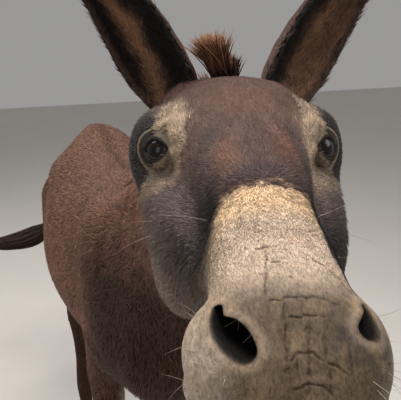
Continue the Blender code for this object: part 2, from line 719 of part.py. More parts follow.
def mane_mesh(flesh):
    """A ridge of standing hair from the poll to the withers, less the flesh it stands on."""
    crest = neck_masses()[0]
    start = on_head(0, -0.150, 0.030)
    rows = []
    for share in np.linspace(0, 1, 12):
        k = int(share * MANE_ENDS_AT)
        base = crest.spine[k] + np.cross(crest.across[k], crest.along[k]) * (crest.top[k] - MANE_ROOT)
        if share == 0:
            base = (np.array(start) + base) / 2
        low_ends = math.sin(math.pi * min(0.15 + share * 0.95, 1.0))
        tall = MANE_HEIGHT * (0.55 + 0.45 * low_ends)
        rows.append((*base, MANE_HALF_WIDTH, tall, MANE_ROOT))
    ridge = Tube(rows, 0.0, power=2.0, count=14)
    mesh = mesh_from("mane", lambda bm: ridge.loft(bm, segments=8))
    return cut(mesh, [swollen(flesh)])


def place_everything():
    masses = all_masses()
    flesh = flesh_mesh(masses)
    parts = {}
    for mesh in loose_pieces(cut(flesh.copy(), head_hollows(masses) + parting_slabs())):
        middle = Vector(points_of(mesh).mean(0))
        name = min(FLESH_NODES, key=lambda node: (FLESH_NODES[node] - middle).length)
        assert name not in parts, name
        parts[name] = (mesh, "coat" if name != "muzzle" else "pale_muzzle")
    body = swollen(flesh)
    for side, word in ((-1, "right"), (1, "left")):
        parts[f"eye_{word}"] = (eyeball(side, EYE_RADIUS), "eye")
        parts[f"ear_{word}"] = (cut(ear_mesh(side), [body.copy()]), "dark_coat")
        parts[f"hoof_fore_{word}"] = (hoof_mesh(side * FORE_HOOF_X, FORE_HOOF_Y), "horn")
        parts[f"hoof_hind_{word}"] = (hoof_mesh(side * HIND_HOOF_X, HIND_HOOF_Y[side]), "horn")
    parts["mane"] = (mane_mesh(flesh), "dark_coat")
    lock = hair_mesh([(*on_head(*row[:3]), row[3]) for row in FORELOCK_CURVE], HEAD_LEFT, 0.7)
    parts["forelock"] = (cut(lock, [body.copy()]), "dark_coat")
    switch = hair_mesh(SWITCH_CURVE, Vector((0, 1, 0)))
    parts["tail_switch"] = (cut(switch, [swollen(parts["tail_dock"][0])]), "dark_coat")

    finishes = {
        "coat": material("coat", COAT, 0.75),
        "dark_coat": material("dark_coat", DARK_COAT, 0.75),
        "pale_muzzle": material("pale_muzzle", PALE_MUZZLE, 0.80),
        "horn": material("horn", HORN_GREY, 0.55),
        "eye": material("eye", EYE_BROWN, 0.08),
    }
    donkey = bpy.data.objects.new("donkey", None)
    donkey.location = ORIGIN_SHIFT
    bpy.context.scene.collection.objects.link(donkey)
    for name, (mesh, finish) in parts.items():
        mesh.name = name
        new_object(name, mesh, finishes[finish]).parent = donkey


place_everything()
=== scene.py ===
"""A life-size standing donkey: one skin, its coat of tufts, mane and tail, eyes and hooves.

Places in this file are in the donkey's own frame unless they say otherwise: metres, the origin on the
floor between its feet, the nose towards -Y, its left towards +X. The head has axes of its own: lateral
(the donkey's left), forward (along the nose) and up.
"""

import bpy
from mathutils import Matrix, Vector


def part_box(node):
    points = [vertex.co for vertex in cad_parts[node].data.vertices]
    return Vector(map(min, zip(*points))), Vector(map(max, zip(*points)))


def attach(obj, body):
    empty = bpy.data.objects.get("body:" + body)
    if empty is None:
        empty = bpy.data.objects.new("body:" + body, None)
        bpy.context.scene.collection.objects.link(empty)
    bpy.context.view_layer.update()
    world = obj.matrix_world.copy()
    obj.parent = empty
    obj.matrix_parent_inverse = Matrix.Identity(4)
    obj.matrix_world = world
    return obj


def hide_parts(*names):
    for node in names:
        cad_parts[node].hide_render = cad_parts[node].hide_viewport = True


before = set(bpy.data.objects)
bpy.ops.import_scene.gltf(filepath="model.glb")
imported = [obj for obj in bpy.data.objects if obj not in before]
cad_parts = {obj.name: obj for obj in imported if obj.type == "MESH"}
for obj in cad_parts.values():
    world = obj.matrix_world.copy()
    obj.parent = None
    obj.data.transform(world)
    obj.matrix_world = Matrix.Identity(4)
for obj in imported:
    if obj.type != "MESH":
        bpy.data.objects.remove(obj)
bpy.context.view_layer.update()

import math

import bmesh
import bpy
import numpy as np
from mathutils import Matrix, Vector
from mathutils.kdtree import KDTree


# ---------------------------------------------------------------- camera
# A viewer stands right before the donkey's nose, a little to its right and just above eye height, and
# looks down along the face to the rump. The lens is a moderately long one, and its place is reckoned
# from the middle of the two eyeballs.

def middle_of(node):
    low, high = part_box(node)
    return (low + high) / 2


def added(name, data):
    """A new object of the scene, showing the given mesh, lamp or camera."""
    thing = bpy.data.objects.new(name, data)
    bpy.context.scene.collection.objects.link(thing)
    return thing


BETWEEN_EYES = (middle_of("eye_left") + middle_of("eye_right")) / 2
CAMERA_FROM_EYES = Vector((-0.2376, -0.5272, 0.1426))
CAMERA_AZIMUTH = math.radians(-20.0)
CAMERA_PITCH = math.radians(19.0)
NEAREST_SEEN = 0.02
SENSOR = 36.0
FOCAL_SHARE = 553 / 401    # focal length over the width of the frame

camera = added("camera", bpy.data.cameras.new("camera"))
camera.data.sensor_width = SENSOR
camera.data.lens = SENSOR * FOCAL_SHARE
camera.data.clip_start = NEAREST_SEEN
backward = Vector((
    math.sin(CAMERA_AZIMUTH) * math.cos(CAMERA_PITCH),
    -math.cos(CAMERA_AZIMUTH) * math.cos(CAMERA_PITCH),
    math.sin(CAMERA_PITCH),
))
camera.location = BETWEEN_EYES + CAMERA_FROM_EYES
camera.rotation_euler = (-backward).to_track_quat("-Z", "Y").to_euler()
bpy.context.scene.camera = camera


# ---------------------------------------------------------------- the shape of the flesh
# Trunk, neck, head, dock and limbs are the masses that the solids were made from: long tapered ones
# along a curve and round ones for muscles, cheeks and brows, all run smoothly into each other. The feet
# and the eyeballs in the frame place them.

SIDES = (-1, 1)            # the donkey's right and left
SIDE_WORDS = ((-1, "right"), (1, "left"))
FORE_HOOF = Vector((0.112, -0.262, 0.070))     # middle of the left fore coronet
HIND_HOOF_X = 0.112
HIND_HOOF_Y = {-1: 0.360, 1: 0.560}
CORONET_AHEAD = 0.0195     # from the middle of a hoof's box back to the middle of its coronet
feet = (middle_of("hoof_fore_left") + middle_of("hoof_fore_right")) / 2
BODY = Vector((feet.x, feet.y + CORONET_AHEAD - FORE_HOOF.y, 0.0))

HEAD_PITCH = math.radians(1.0)
EYE_HEIGHT = 0.004         # of the eyeballs over the head's own middle line
EYE_FORWARD = 0.0005
eye_low, eye_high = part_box("eye_left")
EYE_RADIUS = max(eye_high - eye_low) / 2
EYE_SPREAD = (middle_of("eye_left") - middle_of("eye_right")).length / 2

HEAD_LEFT = (middle_of("eye_left") - middle_of("eye_right")).normalized()
level = HEAD_LEFT.cross(Vector((0, 0, 1))).normalized()
HEAD_FORWARD = Matrix.Rotation(HEAD_PITCH, 3, HEAD_LEFT) @ level
HEAD_UP = HEAD_FORWARD.cross(HEAD_LEFT)
HEAD_PLACE = BETWEEN_EYES - HEAD_UP * EYE_HEIGHT - HEAD_FORWARD * EYE_FORWARD - BODY
HEAD_TURN = np.array([HEAD_LEFT, HEAD_FORWARD, HEAD_UP])


def on_head(lateral, forward, up):
    """A point given in the head's axes, in the donkey's frame."""
    return HEAD_PLACE + HEAD_LEFT * lateral + HEAD_FORWARD * forward + HEAD_UP * up


def in_head(points):
    """Points of the donkey's frame, in the head's axes."""
    return (points - np.array(HEAD_PLACE)) @ HEAD_TURN.T


def out_of_head(points):
    return points @ HEAD_TURN + np.array(HEAD_PLACE)


def sizes_of(rows):
    """The length of each row of numbers."""
    return np.linalg.norm(rows, axis=1)


def through(rows, count):
    """Rows of numbers, read at count even steps along a smooth curve through them all."""
    rows = np.asarray(rows, float)
    steps = sizes_of(np.diff(rows[:, :3], axis=0))
    knots = np.concatenate([[0], np.cumsum(steps)])
    slopes = np.gradient(rows, knots, axis=0)
    at = np.linspace(0, knots[-1], count)
    k = np.clip(np.searchsorted(knots, at, side="right") - 1, 0, len(knots) - 2)
    width = (knots[k + 1] - knots[k])[:, None]
    t = (at - knots[k])[:, None] / width
    return (
        (2 * t**3 - 3 * t**2 + 1) * rows[k]
        + (t**3 - 2 * t**2 + t) * width * slopes[k]
        + (3 * t**2 - 2 * t**3) * rows[k + 1]
        + (t**3 - t**2) * width * slopes[k + 1]
    )


class Tube:
    """A tapered mass along a curve. Rows: x, y, z, half width, depth above or behind, below or before."""

    CAP_STEP, CAP_SHARE = 0.8, 0.55    # how far out an end ring stands, and its size

    def __init__(self, rows, blend, side=(1, 0, 0), power=2.0, cap=0.6, count=20):
        self.blend, self.power = blend, power
        table = through(rows, count)
        self.spine, self.wide, self.top, self.under = table[:, :3], table[:, 3], table[:, 4], table[:, 5]
        self.cap = cap * min(self.wide[0], self.top[0]), cap * min(self.wide[-1], self.top[-1])
        along = np.gradient(self.spine, axis=0)
        self.along = along / sizes_of(along)[:, None]
        side = np.asarray(side, float)
        across = side - (self.along @ side)[:, None] * self.along
        self.across = across / sizes_of(across)[:, None]
        self.reach = float(max(self.wide.max(), self.top.max(), self.under.max())) + 0.02

    def box(self, margin):
        grow = self.reach + margin
        return self.spine.min(0) - grow, self.spine.max(0) + grow

    def distance(self, points):
        start, step = self.spine[:-1], np.diff(self.spine, axis=0)
        square = (step**2).sum(1)
        along = points @ step.T - (start * step).sum(1)
        share = np.clip(along / square, 0, 1)
        far = (points**2).sum(1)[:, None] - 2 * points @ start.T + (start**2).sum(1)
        far += share * (share * square - 2 * along)
        k = far.argmin(1)
        t = share[np.arange(len(points)), k][:, None]

        def between(values):
            values = values.reshape(len(values), -1)
            return values[k] * (1 - t) + values[k + 1] * t

        off = points - between(self.spine)
        tangent, across = between(self.along), between(self.across)
        upward = np.cross(across, tangent)
        s = (off * across).sum(1) / between(self.wide)[:, 0]
        n = (off * upward).sum(1)
        n /= np.where(n > 0, between(self.top)[:, 0], between(self.under)[:, 0])
        w = (off * tangent).sum(1)
        w /= np.where(w < 0, self.cap[0], self.cap[1])
        size = np.abs(s) ** self.power + np.abs(n) ** self.power + np.abs(w) ** self.power
        size = np.maximum(size, 1e-9) ** (1 / self.power)
        return sizes_of(off) * (1 - 1 / size)

    def loft(self, bm, segments=20):
        """Rings along the curve, closed at both ends by a shrinking ring."""
        turns = np.linspace(0, 2 * math.pi, segments, endpoint=False)
        cos, sin = np.cos(turns), np.sin(turns)
        upward = np.cross(self.across, self.along)
        stations = [(0, -self.cap[0] * self.CAP_STEP, self.CAP_SHARE)]
        stations += [(i, 0.0, 1.0) for i in range(len(self.spine))]
        stations += [(len(self.spine) - 1, self.cap[1] * self.CAP_STEP, self.CAP_SHARE)]
        rings = []
        for i, ahead, share in stations:
            depth = np.where(sin > 0, self.top[i], self.under[i]) * sin
            ring = self.spine[i] + self.along[i] * ahead
            ring = ring + share * (np.outer(cos * self.wide[i], self.across[i]) + np.outer(depth, upward[i]))
            rings.append([bm.verts.new(p) for p in ring])
        for first, second in zip(rings, rings[1:]):
            for j in range(segments):
                m = (j + 1) % segments
                bm.faces.new((first[j], first[m], second[m], second[j]))
        bm.faces.new(rings[0])
        bm.faces.new(rings[-1][::-1])


class Blob:
    """An ellipsoid mass: centre, three half sizes and the directions they lie along."""

    def __init__(self, centre, sizes, blend, axes=((1, 0, 0), (0, 1, 0))):
        self.centre, self.sizes, self.blend = np.asarray(centre, float), np.asarray(sizes, float), blend
        first = Vector(axes[0]).normalized()
        third = first.cross(Vector(axes[1])).normalized()
        self.axes = np.array([first, third.cross(first), third])

    def box(self, margin):
        grow = self.sizes.max() + margin
        return self.centre - grow, self.centre + grow

    def distance(self, points):
        off = points - self.centre
        size = sizes_of((off @ self.axes.T) / self.sizes)
        return sizes_of(off) * (1 - 1 / np.maximum(size, 1e-6))

    def loft(self, bm):
        turn = Matrix(self.axes.T.tolist()).to_4x4()
        place = Matrix.Translation(self.centre.tolist()) @ turn @ Matrix.Diagonal((*self.sizes, 1))
        bmesh.ops.create_uvsphere(bm, u_segments=16, v_segments=10, radius=1, matrix=place)


def trunk_masses():
    """Barrel with its spine, withers, chest and breast. y, top, underside, widest line, half width."""
    stations = (
        (-0.375, 0.995, 0.672, 0.845, 0.115),
        (-0.270, 1.072, 0.628, 0.840, 0.150),
        (-0.120, 1.100, 0.608, 0.830, 0.182),
        (0.040, 1.083, 0.588, 0.816, 0.212),
        (0.190, 1.082, 0.576, 0.812, 0.223),
        (0.330, 1.108, 0.602, 0.822, 0.208),
        (0.450, 1.122, 0.685, 0.845, 0.170),
        (0.560, 1.072, 0.760, 0.872, 0.125),
    )
    rows = [(0, y, wide, a, top - wide, wide - under) for y, top, under, wide, a in stations]
    masses = [
        Tube(rows, 0.0, cap=0.75, power=2.15, count=26),
        Blob((0, -0.175, 1.042), (0.045, 0.150, 0.078), 0.05),
        Blob((0, 0.430, 1.046), (0.064, 0.150, 0.074), 0.06),
        Blob((0, -0.335, 0.790), (0.120, 0.100, 0.150), 0.06),
        Blob((0, -0.325, 0.975), (0.118, 0.125, 0.125), 0.10),
    ]
    for side in SIDES:
        masses += [
            Blob((side * 0.100, -0.235, 0.890), (0.070, 0.115, 0.205), 0.05,
                 ((1, 0, 0), (0, 0.91, -0.42))),
            Blob((side * 0.062, -0.385, 0.790), (0.055, 0.050, 0.080), 0.05),
            Blob((side * 0.088, 0.450, 0.850), (0.090, 0.160, 0.160), 0.07),
            Blob((side * 0.118, 0.340, 0.985), (0.040, 0.055, 0.040), 0.07),
            Blob((side * 0.070, 0.590, 0.870), (0.058, 0.065, 0.115), 0.06),
        ]
    return masses


def fore_limb(side):
    """Arm, forearm, knee, cannon, fetlock and pastern, down to the coronet."""
    x, y = side * FORE_HOOF.x, FORE_HOOF.y
    rows = (
        (side * 0.112, y + 0.030, 0.770, 0.058, 0.085, 0.085),
        (side * 0.122, y + 0.062, 0.665, 0.052, 0.070, 0.070),
        (side * 0.120, y + 0.064, 0.590, 0.043, 0.052, 0.055),
        (side * 0.118, y + 0.060, 0.500, 0.036, 0.042, 0.044),
        (side * 0.115, y + 0.055, 0.420, 0.0300, 0.034, 0.034),
        (x, y + 0.050, 0.370, 0.0345, 0.036, 0.037),
        (x, y + 0.052, 0.320, 0.0275, 0.033, 0.029),
        (x, y + 0.054, 0.240, 0.0225, 0.030, 0.0255),
        (x, y + 0.050, 0.152, 0.0285, 0.035, 0.031),
        (x, y + 0.026, 0.108, 0.0255, 0.028, 0.027),
        (x, y, FORE_HOOF.z - 0.010, 0.0345, 0.037, 0.037),
    )
    return [Tube(rows, 0.045, count=34)]


def hind_limb(side):
    """Thigh, stifle, gaskin, hock, cannon, fetlock and pastern, down to the coronet."""
    x, y = side * HIND_HOOF_X, HIND_HOOF_Y[side]
    swing = y - HIND_HOOF_Y[1]
    rows = (
        (side * 0.112, 0.490, 0.880, 0.078, 0.150, 0.140),
        (side * 0.122, 0.455 + 0.20 * swing, 0.755, 0.075, 0.130, 0.118),
        (side * 0.126, 0.460 + 0.45 * swing, 0.660, 0.063, 0.100, 0.084),
        (side * 0.124, 0.515 + 0.62 * swing, 0.570, 0.043, 0.066, 0.056),
        (side * 0.119, 0.586 + 0.75 * swing, 0.492, 0.0290, 0.048, 0.038),
        (side * 0.116, 0.620 + 0.82 * swing, 0.435, 0.0345, 0.044, 0.042),
        (x, y + 0.068 + 0.12 * -swing, 0.375, 0.0290, 0.038, 0.033),
        (x, y + 0.060 + 0.08 * -swing, 0.270, 0.0235, 0.032, 0.0275),
        (x, y + 0.052, 0.158, 0.0290, 0.036, 0.032),
        (x, y + 0.026, 0.110, 0.0255, 0.028, 0.027),
        (x, y, FORE_HOOF.z - 0.010, 0.0335, 0.036, 0.036),
    )
    point_of_hock = Blob((side * 0.116, 0.652 + 0.82 * swing, 0.462), (0.017, 0.022, 0.036), 0.03)
    return [Tube(rows, 0.050, count=38), point_of_hock]


def neck_masses():
    """From behind the poll down into the withers and chest."""
    rows = (
        (*on_head(0, -0.135, -0.026), 0.060, 0.068, 0.100),
        (-0.050, -0.585, 1.215, 0.066, 0.100, 0.116),
        (-0.030, -0.480, 1.135, 0.079, 0.122, 0.145),
        (-0.010, -0.355, 1.045, 0.108, 0.136, 0.175),
        (0.000, -0.230, 0.955, 0.130, 0.122, 0.185),
        (0.000, -0.120, 0.890, 0.110, 0.100, 0.150),
    )
    return [Tube(rows, 0.07, count=22)]


def head_masses():
    """Face, lower jaw, cheeks, brows, facial crests, muzzle, nostril wings, lips and chin."""
    face = (  # forward, widest line, half width, rise to the profile, drop to the palate
        (0.285, -0.068, 0.040, 0.028, 0.026),
        (0.250, -0.058, 0.050, 0.042, 0.036),
        (0.205, -0.048, 0.051, 0.050, 0.042),
        (0.160, -0.040, 0.048, 0.054, 0.047),
        (0.115, -0.032, 0.053, 0.061, 0.054),
        (0.065, -0.022, 0.063, 0.071, 0.064),
        (0.015, -0.010, 0.074, 0.077, 0.080),
        (-0.045, -0.006, 0.095, 0.077, 0.090),
        (-0.105, -0.012, 0.086, 0.071, 0.082),
        (-0.150, -0.024, 0.062, 0.056, 0.068),
    )
    jaw = (  # forward, widest line, half width, rise, drop
        (0.272, -0.104, 0.030, 0.018, 0.014),
        (0.235, -0.104, 0.040, 0.024, 0.020),
        (0.175, -0.100, 0.046, 0.030, 0.024),
        (0.105, -0.104, 0.060, 0.038, 0.034),
        (0.040, -0.106, 0.071, 0.048, 0.050),
        (-0.020, -0.102, 0.072, 0.058, 0.056),
        (-0.075, -0.092, 0.062, 0.056, 0.048),
    )
    masses = [
        Tube([(*on_head(0, f, u), a, up, down) for f, u, a, up, down in face], 0.04,
             side=HEAD_LEFT, power=2.4, count=30),
        Tube([(*on_head(0, f, u), a, up, down) for f, u, a, up, down in jaw], 0.03,
             side=HEAD_LEFT, cap=0.9, count=22),
    ]
    axes = (HEAD_LEFT, HEAD_FORWARD)

    def lump(place, sizes, blend, directions=axes):
        masses.append(Blob(on_head(*place), sizes, blend, directions))

    lump((0, -0.050, 0.020), (0.070, 0.085, 0.046), 0.03)
    lump((-0.003, 0.266, -0.066), (0.056, 0.044, 0.036), 0.03)
    lump((-0.003, 0.292, -0.078), (0.045, 0.030, 0.026), 0.025)
    lump((-0.010, 0.262, -0.105), (0.048, 0.038, 0.016), 0.012)
    lump((-0.047, 0.246, -0.103), (0.0245, 0.030, 0.015), 0.010)
    lump((-0.006, 0.244, -0.119), (0.032, 0.030, 0.018), 0.018)
    for side in SIDES:
        outward = HEAD_LEFT * side
        lump((side * 0.059, 0.028, -0.090), (0.041, 0.112, 0.062), 0.035)
        lump((side * 0.091, -0.036, 0.002), (0.028, 0.036, 0.037), 0.03)
        lump((side * 0.063, 0.002, 0.021), (0.018, 0.028, 0.020), 0.03,
             (outward - HEAD_UP * 0.5, HEAD_FORWARD))
        lump((side * 0.050, -0.118, 0.014), (0.036, 0.042, 0.042), 0.035)
        lump((side * 0.046 - 0.0025, 0.272, -0.066), (0.021, 0.036, 0.030), 0.022,
             (outward + HEAD_FORWARD * 0.25, HEAD_FORWARD - outward * 0.25))
        crest = [(*on_head(side * a, f, u), r, r, r)
                 for a, f, u, r in ((0.094, -0.060, -0.018, 0.014), (0.088, 0.020, -0.040, 0.013),
                                    (0.070, 0.085, -0.054, 0.012), (0.046, 0.150, -0.062, 0.011))]
        masses.append(Tube(crest, 0.045, side=HEAD_LEFT, count=12))
    return masses


DOCK_CURVE = (  # the fleshy root of the tail, swung to the right: x, y, z, radius
    (0.000, 0.610, 1.015, 0.034),
    (-0.004, 0.672, 0.965, 0.029),
    (-0.022, 0.712, 0.880, 0.026),
    (-0.060, 0.738, 0.790, 0.023),
    (-0.112, 0.750, 0.710, 0.020),
    (-0.165, 0.752, 0.665, 0.016),
)

masses = trunk_masses() + neck_masses() + head_masses()
masses.append(Tube([(x, y, z, r, r, r) for x, y, z, r in DOCK_CURVE], 0.03, count=14))
for side in SIDES:
    masses += fore_limb(side) + hind_limb(side)


def distance(points):
    """Signed distance, near the surface, to all the masses run smoothly into each other."""
    found = np.full(len(points), 1.0)
    for mass in masses:
        low, high = mass.box(max(mass.blend, 0.03) + 0.02)
        near = np.flatnonzero(((points > low) & (points < high)).all(1))
        if not len(near):
            continue
        here, there = found[near], mass.distance(points[near])
        soft = max(mass.blend, 1e-4)
        overlap = np.maximum(soft - np.abs(here - there), 0) / soft
        found[near] = np.minimum(here, there) - overlap**2 * soft / 4
    return found


def drawn_onto(points, offset=0.0, rounds=3):
    """Points moved along the slope of the distance until they lie at the wanted offset."""
    reach = 0.0015
    for _ in range(rounds):
        value = distance(points)
        slope = np.stack([(distance(points + reach * axis) - value) / reach for axis in np.eye(3)], 1)
        steep = np.maximum((slope**2).sum(1), 0.25)
        step = np.clip((value - offset) / steep, -0.02, 0.02)
        points = points - slope * step[:, None]
    return points


# ---------------------------------------------------------------- skin
# One closed skin runs over the whole animal, under the coat by the coat's own depth. It is thin and
# loose: it folds into lids round the eyes, turns in at the nostrils and lips, and creases on the muzzle.

BODY_VOXEL = 0.010
BODY_EDGE = 0.02           # the longest edge off the head, which is longer than any voxel's
REFINEMENTS = 5            # times that edges too long for their place are halved


def smooth(low, high, values):
    """0 up to low, 1 from high on, and a smooth rise between; low may be the greater of the two."""
    t = np.clip((values - low) / (high - low), 0, 1)
    return t * t * (3 - 2 * t)


def bell(off, width):
    """1 where off is 0, falling smoothly to nothing within about two widths on either side."""
    return np.exp(-((off / width) ** 2))


def coat_depth(points):
    """How far the skin lies under the tips of the coat."""
    at = in_head(points)
    deep = 0.011 + 0.002 * smooth(-0.10, -0.35, points[:, 1])
    deep = np.where(points[:, 1] > 0.66, 0.006, deep)
    limb = smooth(0.70, 0.54, points[:, 2])
    deep += (0.0045 - deep) * limb
    head = smooth(-0.20, -0.11, at[:, 1])
    deep += (0.0035 - deep) * head
    deep += (0.0010 - deep) * smooth(0.135, 0.165, at[:, 1])
    return deep


def applied(mesh, kind, **settings):
    """The mesh that one modifier makes of a mesh."""
    work = added("work", mesh)
    modifier = work.modifiers.new(kind, kind)
    for name, value in settings.items():
        setattr(modifier, name, value)
    graph = bpy.context.evaluated_depsgraph_get()
    made = bpy.data.meshes.new_from_object(work.evaluated_get(graph))
    bpy.data.objects.remove(work)
    return made


def numbers(items, name, width, kind=np.float32):
    found = np.empty(len(items) * width, kind)
    items.foreach_get(name, found)
    return found.reshape(-1, width) if width > 1 else found


def put_points(mesh, points):
    mesh.vertices.foreach_set("co", points.astype(np.float32).ravel())
    mesh.update()


def mirror(side):
    return np.array([side, 1, 1])


def eye_middle(side):
    return np.array([side * EYE_SPREAD, EYE_FORWARD, EYE_HEIGHT])


LIDS_FACE = np.array((0.650, 0.680, 0.335))      # the way the left eye's opening faces
INNER_CORNER = np.array((-0.194, 0.907, 0.374))  # and the way to its corner by the nose
LID_SPAN = [math.radians(a) for a in (46.0, 54.0, 29.0, 38.0)]   # inner, outer, upper, lower
LID_POINT = 1.50                                 # 2 is a round opening, 1 a pointed one
RIM_ANGLE = math.radians(68.0)                   # the bony rim behind the eye


def opening_axes():
    """Three unit ways at the left eye: the way its opening faces, towards its inner corner, and up."""
    facing = LIDS_FACE / np.linalg.norm(LIDS_FACE)
    inner = INNER_CORNER - facing * (facing @ INNER_CORNER)
    inner /= np.linalg.norm(inner)
    upper = np.cross(facing, inner)
    return facing, inner, upper * np.sign(upper[2])


OPENING_FACES, OPENING_IN, OPENING_UP = opening_axes()


def about_eye(at, side):
    """Off the eyeball's middle: distance, angle from the lids' facing, and cosine and sine around it."""
    off = (at - eye_middle(side)) * mirror(side)
    far = sizes_of(off)
    unit = off / np.maximum(far, 1e-6)[:, None]
    angle = np.arccos(np.clip(unit @ OPENING_FACES, -1, 1))
    x, y = unit @ OPENING_IN, unit @ OPENING_UP
    round_it = np.maximum(np.hypot(x, y), 1e-6)
    return far, angle, x / round_it, y / round_it


def lid_edge(cosine, sine):
    """The angle from the opening's facing out to the edge of the lids, each way round."""
    inner, outer, upper, lower = LID_SPAN
    wide = np.where(cosine > 0, inner, outer)
    tall = np.where(sine > 0, upper, lower)
    return (np.abs(cosine / wide) ** LID_POINT + np.abs(sine / tall) ** LID_POINT) ** (-1 / LID_POINT)


def past_lid(angle, cosine, sine):
    """Metres on the eyeball from the edge of the lids, negative in the opening."""
    return (angle - lid_edge(cosine, sine)) * EYE_RADIUS


NOSTRILS = (   # down the middle of each opening: lateral, forward, up, radius. The left one is drawn in.
    ((-0.0487, 0.2630, -0.0300, 0.0040), (-0.0490, 0.2748, -0.0326, 0.0056),
     (-0.0438, 0.2837, -0.0342, 0.0098), (-0.0390, 0.2921, -0.0371, 0.0102),
     (-0.0360, 0.2965, -0.0395, 0.0085)),
    ((0.0478, 0.2640, -0.0292, 0.0022), (0.0478, 0.2740, -0.0315, 0.0040),
     (0.0455, 0.2815, -0.0335, 0.0062), (0.0435, 0.2860, -0.0352, 0.0072)),
)
NOSTRIL_BEADS = np.concatenate([through(rows, 15) for rows in NOSTRILS])
MOUTH_LEVEL = -0.088


def past_nostril(at):
    """Metres from the edge of the nearer nostril, negative in its opening."""
    found = np.full(len(at), 1.0)
    for *bead, radius in NOSTRIL_BEADS:
        found = np.minimum(found, sizes_of(at - bead) - radius)
    return found


CREASE_WIDTH = 0.0009
CREASE_REACH = 0.04        # farther off than this from its middle, a crease isn't looked for
CREASE_WAVER = 0.0006      # how far a crease strays from its smooth line, by three crossing waves
CREASE_WAVES = np.array(((310, 690, 505), (-720, 260, 480), (410, -560, 640))).T
MUZZLE_CREASES = (   # on the skin, in millimetres: depth, then lateral, forward, up
    (1.0, (-18, 271, -22), (-5, 270, -20), (16, 270, -21), (30, 272, -26)),
    (1.2, (-10, 283, -26), (5, 282, -26), (19, 280.5, -27)),
    (1.4, (-12, 307, -42), (-5, 304, -37.5), (2, 303, -37), (11, 306, -42), (16, 307, -43), (25, 310, -49)),
    (0.8, (-15, 310, -46), (-12, 308.5, -43), (-8, 308.5, -42)),
    (1.0, (-12, 316, -54), (-3, 315, -51), (8, 315, -52), (14, 317, -59)),
    (1.2, (-7.5, 272, -21), (-10, 291, -31.5), (-12, 307, -42)),
    (1.2, (5, 287.5, -28.5), (2, 303, -37), (-0.7, 317.5, -55)),
    (1.0, (17, 285, -29), (12, 301, -37), (11, 306, -41)),
    (0.8, (-5, 305, -38), (-6, 313, -49)),
    (0.9, (14, 307, -43), (12.5, 312, -49), (12, 317, -57)),
    (0.7, (-20.5, 312.5, -51), (-24, 315.5, -59)),
    (0.6, (28, 300, -39), (27, 309, -49)),
    (0.7, (-2, 293, -31), (5, 289.5, -29.5), (7, 291, -31)),
    (0.7, (-12, 228, -5), (-13.5, 239, -9), (-16, 253, -14.5), (-18.5, 267, -20)),
    (0.5, (2, 248, -11.5), (0, 256, -14.5)),
    (0.5, (-7.5, 248, -12), (-8.5, 254.5, -14)),
    (0.8, (-20, 226, -6), (-8, 227, -4), (-2, 226, -4)),
    (0.7, (-13, 242, -10), (-2, 239, -8.5)),
    (0.8, (16, 234, -8), (29, 243, -15.5), (36, 246, -21), (41, 255, -26.5)),
    (0.5, (19, 211.5, -1), (32, 200.5, -4.5)),
)
CREASE_BEADS = [(row[0] / 1000, through(row[1:], 40) / 1000) for row in MUZZLE_CREASES]


def crease_distances(at):
    """For each crease: the points near it, their distance from its line, and from its nearer end."""
    at = at + CREASE_WAVER * np.sin(at @ CREASE_WAVES)
    for depth, beads in CREASE_BEADS:
        near = np.flatnonzero(sizes_of(at - beads.mean(0)) < CREASE_REACH)
        off = np.linalg.norm(at[near, None, :] - beads[None], axis=2).min(1)
        ends = np.minimum(*(sizes_of(at[near] - beads[k]) for k in (0, -1)))
        yield depth, near, off, ends


def past_eyes(at):
    return np.minimum(*(sizes_of(at - eye_middle(side)) for side in SIDES))


def wanted_edge(points):
    """How long the skin's mesh edges may be in each place."""
    at = in_head(points)
    forward, up = at[:, 1], at[:, 2]
    eyes, nostril = past_eyes(at), past_nostril(at)
    front = (forward > 0.255) & (up > -0.075)
    stretches = [     # each takes over where it overlaps the ones before
        (forward > -0.14, 0.0075),
        ((eyes < 0.060) | (forward > 0.16), 0.0038),
        ((eyes < 0.042) | (nostril < 0.010) | front, 0.0024),
        (np.abs(nostril + 0.002) < 0.0045, 0.0013),
        ((forward > 0.19) & (np.abs(up - MOUTH_LEVEL) < 0.007), 0.0019),
    ]
    for side in SIDES:
        far, angle, cosine, sine = about_eye(at, side)
        stretches += [
            ((far < 0.04) & (np.abs(past_lid(angle, cosine, sine)) < 0.0022), 0.0010),
            ((far < 0.04) & (np.abs(angle - RIM_ANGLE) < 0.08) & (cosine < 0.1), 0.0012),
        ]
    size = np.full(len(at), BODY_EDGE)
    for inside, edge in stretches:
        size = np.where(inside, edge, size)
    for _, near, off, _ in crease_distances(at):
        size[near] = np.where(off < 2 * CREASE_WIDTH, 0.0007, size[near])
    return size


def arrays_of(bm):
    bm.verts.index_update()
    points = np.array([v.co for v in bm.verts])
    edges = np.array([(e.verts[0].index, e.verts[1].index) for e in bm.edges])
    return points, edges


def relaxed(points, edges, moving, rounds=3):
    """Points evened out towards the mean of their neighbours, where moving is true."""
    both = np.concatenate([edges, edges[:, ::-1]])
    count = np.bincount(both[:, 0], minlength=len(points))[:, None]
    for _ in range(rounds):
        sums = [np.bincount(both[:, 0], points[both[:, 1], k], len(points)) for k in range(3)]
        mean = np.stack(sums, 1) / np.maximum(count, 1)
        points = np.where(moving[:, None], points * 0.5 + mean * 0.5, points)
    return points


